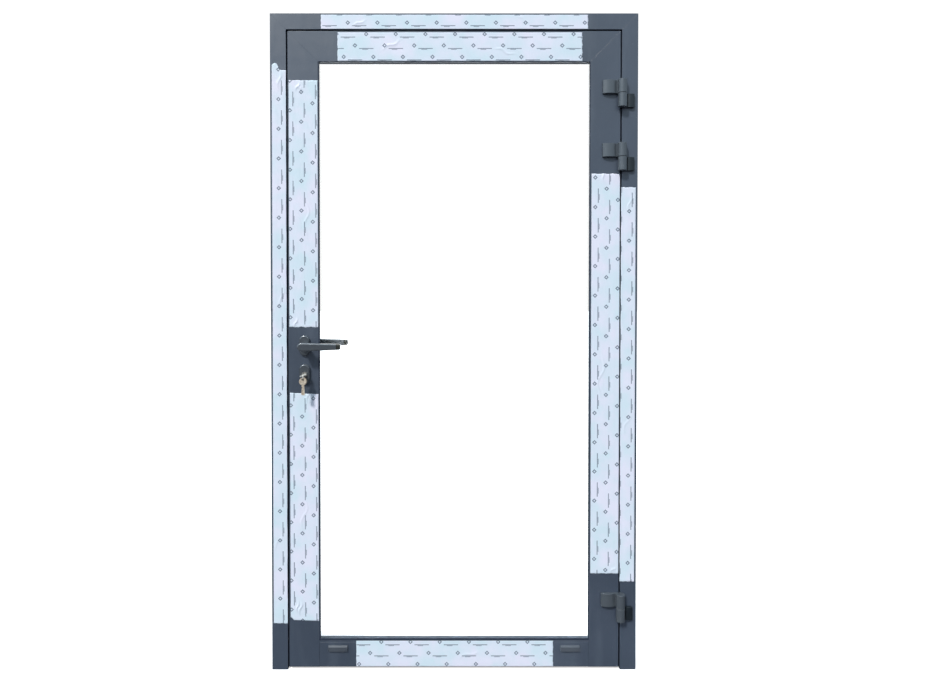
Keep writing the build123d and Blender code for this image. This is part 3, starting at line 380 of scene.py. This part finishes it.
hinge_coat, tree, shader, position = new_material("hinge_coat")
coat = place_group(tree, coat_tree, {
    "Position": position, "Colour": hinge_colour, "Dust colour": hinge_worn,
    "Roughness": hinge_roughness, "Dust": 0.5,
})
beside = add(tree, "ShaderNodeSeparateXYZ", {0: position}).outputs[0]
# Painted shade: past the barrel the frame wing is coloured near-black, as if the barrel's shadow lay on it.
barrel_shade = maths(tree, "GREATER_THAN", beside, hinge_axis + shade_from_axis)
feed(shader, "Base Color", blend(tree, barrel_shade, coat["Colour"], painted_shade_colour))
feed(shader, "Roughness", coat["Roughness"])
feed(shader, "Metallic", 0.3)
feed(shader, "Specular IOR Level", 0.9)
bump(tree, shader, coat["Height"], hinge_relief)
for place in ("top", "middle", "bottom"):
    for side in ("leaf", "frame"):
        dress(hinge_coat, f"hinge_{place}_{side}_wing")

# Bushes in the hinge barrels. Their flange shows as the dark line between the two knuckles.
# Moulded from black, oily acetal and pressed in.
bush_colour = (0.010, 0.010, 0.011, 1.0)
bush_sheen = (0.030, 0.031, 0.033, 1.0)
bush_roughness = (0.25, 0.45)

bush, tree, shader, position = new_material("hinge_bush")
oily = noise(tree, position, 380.0, 3.0)
feed(shader, "Base Color", blend(tree, ramp(tree, oily, 0.45, 0.7), bush_colour, bush_sheen))
feed(shader, "Roughness", ramp(tree, oily, 0.3, 0.7, *bush_roughness))
dress(bush, "hinge_bushes")

# Screws, hinge pins and the handle's square spindle.
# Steel, zinc plated, so each has a soft spangle and a faint yellow and blue cast.
zinc_blue = (0.50, 0.53, 0.57, 1.0)
zinc_yellow = (0.58, 0.56, 0.48, 1.0)
zinc_roughness = (0.26, 0.42)
screw_spangle = 900.0
screw_relief = 0.00003

zinc_tree, given, out = new_group(
    "zinc_spangle",
    (("Position", "Vector"), ("Scale", "Float")),
    (("Colour", "Color"), ("Roughness", "Float")),
)
cells = add(zinc_tree, "ShaderNodeTexVoronoi", {"Vector": given["Position"], "Scale": given["Scale"]})
cell_grey = add(zinc_tree, "ShaderNodeSeparateColor", {0: cells.outputs["Color"]}).outputs[0]
zinc_tree.links.new(blend(zinc_tree, cell_grey, zinc_blue, zinc_yellow), out["Colour"])
zinc_tree.links.new(ramp(zinc_tree, cell_grey, 0.0, 1.0, *zinc_roughness), out["Roughness"])

plated, tree, shader, position = new_material("zinc_plated_steel")
zinc = place_group(tree, zinc_tree, {"Position": position, "Scale": screw_spangle})
feed(shader, "Base Color", zinc["Colour"])
feed(shader, "Roughness", zinc["Roughness"])
feed(shader, "Metallic", 1.0)
bump(tree, shader, noise(tree, position, 1100.0), screw_relief)
dress(
    plated,
    "strike_screws", "lock_screws", "hinge_screws_leaf", "hinge_screws_frame", "hinge_pins", "handle_spindle",
)

# Lock case, with the follower that the spindle turns.
# Pressed from galvanised sheet steel and riveted shut. The spangle is larger on flat sheet.
case_spangle = 180.0
case_relief = 0.00004

galvanised, tree, shader, position = new_material("galvanised_case")
zinc = place_group(tree, zinc_tree, {"Position": position, "Scale": case_spangle})
feed(shader, "Base Color", zinc["Colour"])
feed(shader, "Roughness", zinc["Roughness"])
feed(shader, "Metallic", 1.0)
bump(tree, shader, noise(tree, position, 500.0), case_relief)
dress(galvanised, "lock_case", "lock_follower")

# Faceplate, strike plate, latch and dead bolt.
# Stainless steel, brushed along the door's edge, with the latch and bolt rubbed bright.
brushed_light = (0.60, 0.60, 0.59, 1.0)
brushed_dark = (0.44, 0.44, 0.44, 1.0)
brushed_roughness = (0.26, 0.44)
brushed_relief = 0.00002

brush_tree, given, out = new_group(
    "brushed_lines", (("Position", "Vector"),), (("Mask", "Float"), ("Roughness", "Float"))
)
lines = noise(brush_tree, stretched(brush_tree, given["Position"], 2600.0, 2600.0, 45.0), 1.0, 4.0, 0.65)
brush_tree.links.new(ramp(brush_tree, lines, 0.35, 0.65), out["Mask"])
brush_tree.links.new(ramp(brush_tree, lines, 0.3, 0.7, *brushed_roughness), out["Roughness"])

stainless, tree, shader, position = new_material("brushed_stainless")
brush = place_group(tree, brush_tree, {"Position": position})
feed(shader, "Base Color", blend(tree, brush["Mask"], brushed_dark, brushed_light))
feed(shader, "Roughness", brush["Roughness"])
feed(shader, "Metallic", 1.0)
bump(tree, shader, brush["Mask"], brushed_relief)
dress(stainless, "lock_faceplate", "strike_plate", "latch_bolt", "dead_bolt")

# Lever handles, roses, escutcheons and the thumbturn.
# Die-cast, with a satin dark grey metallic lacquer. The last 12 mm of each lever is a darker end cap.
lever_colour = (0.105, 0.118, 0.132, 1.0)
lever_flake = (0.22, 0.235, 0.25, 1.0)
lever_roughness = (0.30, 0.37)
lever_relief = 0.00005
lacquer_roughness = 0.15
lever_cap = (0.045, 0.046, 0.036, 1.0)
lever_cap_from = -0.3680
groove_half = 0.0005
groove_colour = (0.006, 0.006, 0.006, 1.0)

satin_metal, tree, shader, position = new_material("satin_handle_metal")
flakes = add(tree, "ShaderNodeTexVoronoi", {"Vector": position, "Scale": 5200.0}).outputs["Distance"]
cloud = noise(tree, position, 70.0, 4.0)
flaked = blend(tree, ramp(tree, flakes, 0.0, 0.45, 0.55, 0.0), lever_colour, lever_flake)
along = add(tree, "ShaderNodeSeparateXYZ", {0: position}).outputs[0]
capped = blend(tree, maths(tree, "GREATER_THAN", along, lever_cap_from), flaked, lever_cap)
off_groove = maths(tree, "ABSOLUTE", maths(tree, "SUBTRACT", along, lever_cap_from))
groove = maths(tree, "LESS_THAN", off_groove, groove_half)
feed(shader, "Base Color", blend(tree, groove, capped, groove_colour))
feed(shader, "Roughness", ramp(tree, cloud, 0.3, 0.7, *lever_roughness))
feed(shader, "Metallic", 0.7)
feed(shader, "Coat Weight", 1.0)
feed(shader, "Coat Roughness", lacquer_roughness)
cast_skin = noise(tree, position, 700.0)
bump(tree, shader, maths(tree, "SUBTRACT", cast_skin, maths(tree, "MULTIPLY", groove, 3.0)), lever_relief)
dress(
    satin_metal,
    "handle_outer", "handle_inner", "handle_rose_outer", "handle_rose_inner",
    "escutcheon_outer", "escutcheon_inner", "thumbturn",
)

# Profile cylinder with its plug and cam. Turned and milled brass, satin nickel plated.
# The key slides in a slot of the plug, which is worn bright round it.
nickel_light = (0.60, 0.57, 0.52, 1.0)
nickel_dark = (0.42, 0.40, 0.37, 1.0)
nickel_roughness = 0.26
nickel_relief = 0.00001

scratch_tree, given, out = new_group(
    "hand_scratches", (("Position", "Vector"), ("Scale", "Float")), (("Mask", "Float"),)
)
warp = noise(scratch_tree, given["Position"], 60.0, 2.0)
shrunk = stretched(scratch_tree, given["Position"], 0.02, 0.02, 0.02)
warping = {0: given["Position"], 1: warp, 2: shrunk}
bent = add(scratch_tree, "ShaderNodeVectorMath", warping, operation="MULTIPLY_ADD").outputs[0]
webbing = {"Vector": bent, "Scale": given["Scale"]}
web = add(scratch_tree, "ShaderNodeTexVoronoi", webbing, feature="DISTANCE_TO_EDGE")
scratch_tree.links.new(ramp(scratch_tree, web.outputs["Distance"], 0.0, 0.05, 1.0, 0.0), out["Mask"])

nickel, tree, shader, position = new_material("satin_nickel")
scratches = place_group(tree, scratch_tree, {"Position": position, "Scale": 450.0})
wear = noise(tree, position, 240.0, 3.0)
feed(shader, "Base Color", blend(tree, ramp(tree, wear, 0.35, 0.7), nickel_dark, nickel_light))
feed(shader, "Roughness", maths(tree, "MULTIPLY_ADD", scratches["Mask"], 0.12, nickel_roughness))
feed(shader, "Metallic", 1.0)
bump(tree, shader, scratches["Mask"], nickel_relief)
dress(nickel, "lock_cylinder", "cylinder_plug", "cylinder_cam")

# The key in the cylinder and the split ring on it. Stamped nickel silver and spring steel wire.
# Both are bright, with fine scratches from use.
key_bright = (0.90, 0.89, 0.83, 1.0)
key_dull = (0.78, 0.76, 0.69, 1.0)
key_roughness = 0.22
key_relief = 0.00002

bright_key, tree, shader, position = new_material("bright_key")
scratches = place_group(tree, scratch_tree, {"Position": position, "Scale": 600.0})
handled = noise(tree, position, 200.0, 4.0)
feed(shader, "Base Color", blend(tree, ramp(tree, handled, 0.35, 0.65), key_dull, key_bright))
feed(shader, "Roughness", maths(tree, "MULTIPLY_ADD", scratches["Mask"], 0.15, key_roughness))
feed(shader, "Metallic", 0.3)
bump(tree, shader, scratches["Mask"], key_relief)
dress(bright_key, "key", "key_ring")

# Spare keys that hang face on from the ring. Stamped brass, gone tan where it is not handled.
brass_bright = (0.86, 0.75, 0.60, 1.0)
brass_tan = (0.52, 0.40, 0.29, 1.0)
brass_roughness = 0.3
tarnish_roughness = 0.12

brass, tree, shader, position = new_material("tarnished_brass")
scratches = place_group(tree, scratch_tree, {"Position": position, "Scale": 520.0})
tarnish = noise(tree, position, 150.0, 5.0, 0.6)
feed(shader, "Base Color", blend(tree, ramp(tree, tarnish, 0.38, 0.62), brass_tan, brass_bright))
worn_rough = maths(tree, "MULTIPLY_ADD", scratches["Mask"], 0.1, brass_roughness)
dulled = ramp(tree, tarnish, 0.3, 0.6, tarnish_roughness, 0.0)
feed(shader, "Roughness", maths(tree, "ADD", worn_rough, dulled))
feed(shader, "Metallic", 0.45)
bump(tree, shader, scratches["Mask"], key_relief)
dress(brass, "spare_keys")

# Drain caps over the drain slots of the bottom rail.
# Moulded plastic, painted to match, glossier than the rail, so that the slope on top catches the light.
cap_colour = (0.062, 0.073, 0.090, 1.0)
cap_roughness = 0.28
cap_relief = 0.00005

cap_paint, tree, shader, position = new_material("drain_cap_paint")
coat = place_group(tree, coat_tree, {
    "Position": position, "Colour": cap_colour, "Dust colour": coat_dust,
    "Roughness": cap_roughness, "Dust": 0.5,
})
feed(shader, "Base Color", coat["Colour"])
feed(shader, "Roughness", coat["Roughness"])
bump(tree, shader, coat["Height"], cap_relief)
dress(cap_paint, "drain_caps")

# Protective film, still on the outside faces. White polyethylene, cut by knife and rolled on by hand.
# It is stuck flat, apart from small creases, lifted ends and one torn end on the lock jamb.
# The print is a plain repeat of small diamonds and bars, which runs along each strip.
film_face = -0.035
film_stand = 0.0003
film_sheet = 0.0002
film_step = 0.003
film_fine = 0.0015
film_wave = 0.00006
crease_wide = 1.5
crease_high = 2.2
film_white = (0.750, 0.750, 0.860, 1.0)
film_cool = (0.630, 0.745, 0.815, 1.0)
film_ink = (0.10, 0.13, 0.18, 1.0)
film_roughness = (0.36, 0.5)
film_ripple = 0.0006
print_pitch = (0.036, 0.094)
print_shift = 0.38
diamond_radius = 0.0074
diamond_core = 0.0032
diamond_drop = 0.012
bar_ink = 0.85
bar_half = (0.0015, 0.023)
bar_offset = (0.0095, 0.024)
short_bar_half = (0.0010, 0.009)
short_bar_offset = (0.0125, 0.020)


def film_strip(body, name, left, right, low, high, along, ends, creases):
    """A thin closed sheet over a rectangle of the face, as a grid of points.

    ends gives how far the low, high, left and right edges move, each from the share along that edge.
    A crease is (x, z, angle, length, width, height): height times a bell curve of the distance across
    its line, faded at its ends. The rest of the sheet waves slightly, by one sine times another.
    The sheet's UV is metres across and along the strip."""
    step_x, step_z = (film_fine, film_step) if along == "z" else (film_step, film_fine)
    across = np.linspace(0.0, 1.0, int((right - left) / step_x))
    up = np.linspace(0.0, 1.0, int((high - low) / step_z))
    share_x, share_z = np.meshgrid(across, up)
    z_low = low + ends.get("low", np.zeros_like)(share_x)
    z_high = high + ends.get("high", np.zeros_like)(share_x)
    x_left = left + ends.get("left", np.zeros_like)(share_z)
    x_right = right + ends.get("right", np.zeros_like)(share_z)
    x = x_left + share_x * (x_right - x_left)
    z = z_low + share_z * (z_high - z_low)
    lift = film_wave * (1.0 + np.sin(x * 210.0 + 3.0 * np.sin(z * 37.0)) * np.sin(z * 83.0 + 11.0 * left))
    for x_at, z_at, angle, length, width, height in creases:
        turn = math.radians(angle)
        ahead = (x - x_at) * math.cos(turn) + (z - z_at) * math.sin(turn)
        aside = (z - z_at) * math.cos(turn) - (x - x_at) * math.sin(turn)
        aside = aside + 0.12 * length * np.sin(ahead / length * 4.0)
        across_line = (aside / (width * crease_wide)) ** 2
        lift = lift + height * crease_high * np.exp(-across_line - (ahead / length) ** 4)
    front = np.stack([x, film_face - film_stand - lift, z], -1)
    back = front + (0.0, film_sheet, 0.0)
    points = np.concatenate([front.reshape(-1, 3), back.reshape(-1, 3)])
    rows, columns = x.shape
    index = np.arange(rows * columns).reshape(rows, columns)
    quads = np.stack([index[:-1, :-1], index[:-1, 1:], index[1:, 1:], index[1:, :-1]], -1).reshape(-1, 4)
    rim = np.concatenate([index[0, :-1], index[:-1, -1], index[-1, :0:-1], index[:0:-1, 0]])
    after = np.roll(rim, -1)
    behind = rows * columns
    rim_faces = np.stack([after, rim, rim + behind, after + behind], -1)
    faces = np.concatenate([quads, quads[:, ::-1] + behind, rim_faces])
    strip = new_piece(name, points, faces, film_material)
    flat = np.stack([x, z] if along == "z" else [-z, x], -1).reshape(-1, 2)
    flat = np.concatenate([flat, flat])
    corners = np.empty(len(strip.data.loops), np.int32)
    strip.data.loops.foreach_get("vertex_index", corners)
    strip.data.uv_layers.new(name="metres").data.foreach_set("uv", flat[corners].astype(np.float32).ravel())
    strip.data.shade_smooth()
    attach(strip, body)
    return strip


film_material, tree, shader, position = new_material("protective_film")
where = add(tree, "ShaderNodeUVMap", uv_map="metres").outputs[0]
flat_axes = add(tree, "ShaderNodeSeparateXYZ", {0: where}).outputs
column = maths(tree, "FLOOR", maths(tree, "DIVIDE", flat_axes[0], print_pitch[0]))
column_middle = maths(tree, "MULTIPLY", maths(tree, "ADD", column, 0.5), print_pitch[0])
in_column = maths(tree, "SUBTRACT", flat_axes[0], column_middle)
shifted = maths(tree, "ADD", flat_axes[1], maths(tree, "MULTIPLY", column, print_pitch[1] * print_shift))
in_row = maths(tree, "SUBTRACT", maths(tree, "FLOORED_MODULO", shifted, print_pitch[1]), print_pitch[1] / 2)


def bar_mask(offset, half):
    """1 inside an upright bar of the print, set off from the middle of its cell."""
    beside = maths(tree, "ABSOLUTE", maths(tree, "SUBTRACT", in_column, offset[0]))
    ahead = maths(tree, "ABSOLUTE", maths(tree, "SUBTRACT", in_row, offset[1]))
    within = maths(tree, "LESS_THAN", beside, half[0])
    return maths(tree, "MULTIPLY", within, maths(tree, "LESS_THAN", ahead, half[1]))


off_diamond = maths(tree, "ABSOLUTE", maths(tree, "ADD", in_row, diamond_drop))
reach = maths(tree, "ADD", maths(tree, "ABSOLUTE", in_column), off_diamond)
diamond = maths(tree, "LESS_THAN", reach, diamond_radius)
hollow = maths(tree, "GREATER_THAN", reach, diamond_core)
ring = maths(tree, "MULTIPLY", diamond, hollow)
bars = maths(tree, "MAXIMUM", bar_mask(bar_offset, bar_half), bar_mask(short_bar_offset, short_bar_half))
ink = maths(tree, "MAXIMUM", ring, maths(tree, "MULTIPLY", bars, bar_ink))
uneven = ramp(tree, noise(tree, position, 900.0, 3.0), 0.25, 0.6, 0.6, 1.0)
cloudy = noise(tree, position, 14.0, 4.0)
white = blend(tree, ramp(tree, cloudy, 0.35, 0.65), film_cool, film_white)
feed(shader, "Base Color", blend(tree, maths(tree, "MULTIPLY", ink, uneven), white, film_ink))
feed(shader, "Roughness", ramp(tree, cloudy, 0.3, 0.7, *film_roughness))
feed(shader, "Specular IOR Level", 0.4)
ripple = noise(tree, stretched(tree, position, 70.0, 70.0, 22.0), 1.0, 3.0)
bump(tree, shader, ripple, film_ripple)


torn_step = 0.022
torn_shoulder = 0.007
corner_cut = 0.011
cut_slant = 0.003


def ragged(size, turns):
    """An edge that wanders by about size, as two sines, with so many turns along it."""
    return lambda share: size * (np.sin(share * turns * 6.3) + 0.5 * np.sin(share * turns * 17.0 + 1.0))


def torn_top(share):
    """The torn end: a round shoulder, then a smooth step down, with a ragged lip."""
    fall = np.clip((share - 0.30) / 0.32, 0.0, 1.0)
    shoulder = np.clip(1.0 - share / 0.2, 0.0, 1.0)
    drop = torn_step * fall * fall * (3.0 - 2.0 * fall) + torn_shoulder * shoulder * shoulder
    return ragged(0.0005, 5.0)(share) - drop


def clipped_corner(share):
    """A low edge that runs at a slant, with its first eighth cut off to the corner."""
    return corner_cut * np.clip(1.0 - share / 0.12, 0.0, 1.0) + cut_slant * (0.5 - share)


frame_strips = (
    ("film_head", -0.4225, 0.425, 2.0502, 2.0948, "x",
     {"left": ragged(0.0006, 3.0), "right": ragged(0.0007, 2.0)},
     ((-0.30, 2.07, 20, 0.02, 0.002, 0.0004), (0.22, 2.08, -35, 0.018, 0.002, 0.0004))),
    ("film_jamb_lock", -0.5790, -0.5343, 0.1495, 1.942, "z",
     {"high": torn_top, "low": ragged(0.0005, 2.0), "right": ragged(0.0003, 9.0)},
     ((-0.555, 1.89, 80, 0.03, 0.0022, 0.0006), (-0.56, 0.42, 60, 0.03, 0.002, 0.0004),
      (-0.55, 1.2, 85, 0.05, 0.002, 0.0004))),
    ("film_jamb_hinge", 0.5320, 0.5787, 0.285, 1.549, "z",
     {"high": ragged(0.0007, 2.0), "low": ragged(0.0005, 3.0)},
     ((0.56, 1.5, 80, 0.03, 0.002, 0.0005), (0.555, 0.8, 70, 0.04, 0.002, 0.0004))),
)
leaf_strips = (
    ("film_rail_top", -0.370, 0.407, 1.9495, 2.0395, "x",
     {"left": ragged(0.0005, 3.0), "right": ragged(0.0009, 4.0)},
     ((-0.2, 2.0, 25, 0.03, 0.0025, 0.0005), (0.16, 1.98, -20, 0.03, 0.0022, 0.0004))),
    ("film_rail_bottom", -0.314, 0.319, 0.0105, 0.0935, "x",
     {"left": ragged(0.0004, 2.0), "right": ragged(0.0006, 3.0)},
     ((0.05, 0.05, 15, 0.03, 0.0022, 0.0004),)),
    ("film_stile_lock_upper", -0.5255, -0.4338, 1.103, 1.888, "z",
     {"high": ragged(0.0005, 4.0), "low": ragged(0.0009, 3.0)},
     ((-0.497, 1.868, 50, 0.011, 0.0018, 0.0009), (-0.487, 1.861, -50, 0.008, 0.0018, 0.0008),
      (-0.505, 1.118, 65, 0.012, 0.0018, 0.0009), (-0.47, 1.45, 85, 0.05, 0.002, 0.0004))),
    ("film_stile_lock_lower", -0.5245, -0.4338, 0.159, 0.893, "z",
     {"high": lambda share: -0.004 * share + ragged(0.0004, 3.0)(share), "low": clipped_corner},
     ((-0.502, 0.205, 80, 0.016, 0.0016, 0.0010), (-0.493, 0.2, 75, 0.018, 0.0018, 0.0010),
      (-0.47, 0.88, 88, 0.02, 0.002, 0.0006), (-0.48, 0.5, 80, 0.05, 0.002, 0.0004))),
    ("film_stile_hinge", 0.438, 0.528, 0.311, 1.592, "z",
     {"high": ragged(0.0007, 3.0), "low": ragged(0.0005, 3.0)},
     ((0.512, 0.325, 30, 0.01, 0.0016, 0.0008), (0.475, 1.585, 88, 0.02, 0.002, 0.0006),
      (0.47, 0.95, 82, 0.06, 0.002, 0.0004))),
)
for place in frame_strips:
    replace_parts(film_strip("frame", *place), "frame_films")
for place in leaf_strips:
    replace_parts(film_strip("leaf", *place), "leaf_films")

# Studio: a plain pale floor under a wide soft sky, with a dark ground and one soft sun from the upper
# left. The camera, also through the glass, sees sky and floor as white, brighter than they light the
# door. It stands at the photograph's place.
floor_half = 30.0
floor_colour = (0.97, 0.965, 0.96, 1.0)
floor_lit = (0.10, 0.10, 0.11, 1.0)
floor_glow = (0.55, 0.53, 0.51, 1.0)
floor_no_glow = (0.0, 0.0, 0.0, 1.0)
sky_colour = (0.77, 0.925, 1.06, 1.0)
sky_strength = 0.96
ground_strength = 0.06
sky_seen = 1.1
sky_seen_colour = (1.0, 1.0, 1.0, 1.0)
horizon = (-0.04, 0.26)
sky_left = 0.25
sun_travel = (0.60, 1.0, -1.10)
sun_power = 3.0
sun_angle = 0.12
sun_colour = (1.0, 0.98, 0.95)
camera_place = (-0.0396, -2.180, 1.2365)
camera_pitch = 0.895
camera_yaw = 0.03
camera_lens = 25.93
camera_sensor = 36.0
camera_shift = (0.0263, -0.0579)


def seen_rays(tree):
    """1 for a ray from the camera, also through the glass, and 0 for a ray that lights the door."""
    rays = tree.nodes.new("ShaderNodeLightPath").outputs
    return maths(tree, "MAXIMUM", rays["Is Camera Ray"], rays["Is Transmission Ray"])


pale, tree, shader, position = new_material("pale_floor")
seen = seen_rays(tree)
feed(shader, "Base Color", blend(tree, seen, floor_lit, floor_colour))
feed(shader, "Emission Color", blend(tree, seen, floor_no_glow, floor_glow))
feed(shader, "Emission Strength", 1.0)
feed(shader, "Roughness", 0.9)
feed(shader, "Specular IOR Level", 0.1)
corners = np.array([(-1.0, -1.0, 0.0), (1.0, -1.0, 0.0), (1.0, 1.0, 0.0), (-1.0, 1.0, 0.0)])
floor = new_piece("studio_floor", corners * floor_half, np.array([(0, 1, 2, 3)]), pale)

world = bpy.data.worlds.new("studio_white")
world.use_nodes = True
tree = world.node_tree
tree.nodes.clear()
direction = tree.nodes.new("ShaderNodeTexCoord").outputs["Generated"]
toward = add(tree, "ShaderNodeSeparateXYZ", {0: direction}).outputs
height = ramp(tree, toward[2], horizon[0], horizon[1], ground_strength, sky_strength)
side = ramp(tree, toward[0], -1.0, 1.0, 1.0 + sky_left, 1.0 - sky_left)
brightness = maths(tree, "MULTIPLY", height, side)
dim = add(tree, "ShaderNodeBackground", {"Color": sky_colour, "Strength": brightness})
bright = add(tree, "ShaderNodeBackground", {"Color": sky_seen_colour, "Strength": sky_seen})
sky = add(tree, "ShaderNodeMixShader", {0: seen_rays(tree), 1: dim.outputs[0], 2: bright.outputs[0]})
surface = tree.nodes.new("ShaderNodeOutputWorld")
tree.links.new(sky.outputs[0], surface.inputs["Surface"])
bpy.context.scene.world = world

lamp = bpy.data.lights.new("sun", "SUN")
lamp.energy = sun_power
lamp.angle = sun_angle
lamp.color = sun_colour
sun = bpy.data.objects.new("sun", lamp)
sun.rotation_euler = Vector(sun_travel).to_track_quat("-Z", "Y").to_euler()
bpy.context.scene.collection.objects.link(sun)

lens = bpy.data.cameras.new("photo_camera")
lens.lens = camera_lens
lens.sensor_width = camera_sensor
lens.shift_x, lens.shift_y = camera_shift
camera = bpy.data.objects.new("photo_camera", lens)
camera.location = camera_place
camera.rotation_euler = (math.radians(90.0 - camera_pitch), 0.0, math.radians(-camera_yaw))
bpy.context.scene.collection.objects.link(camera)
bpy.context.scene.camera = camera
bpy.context.scene.view_settings.view_transform = "Standard"
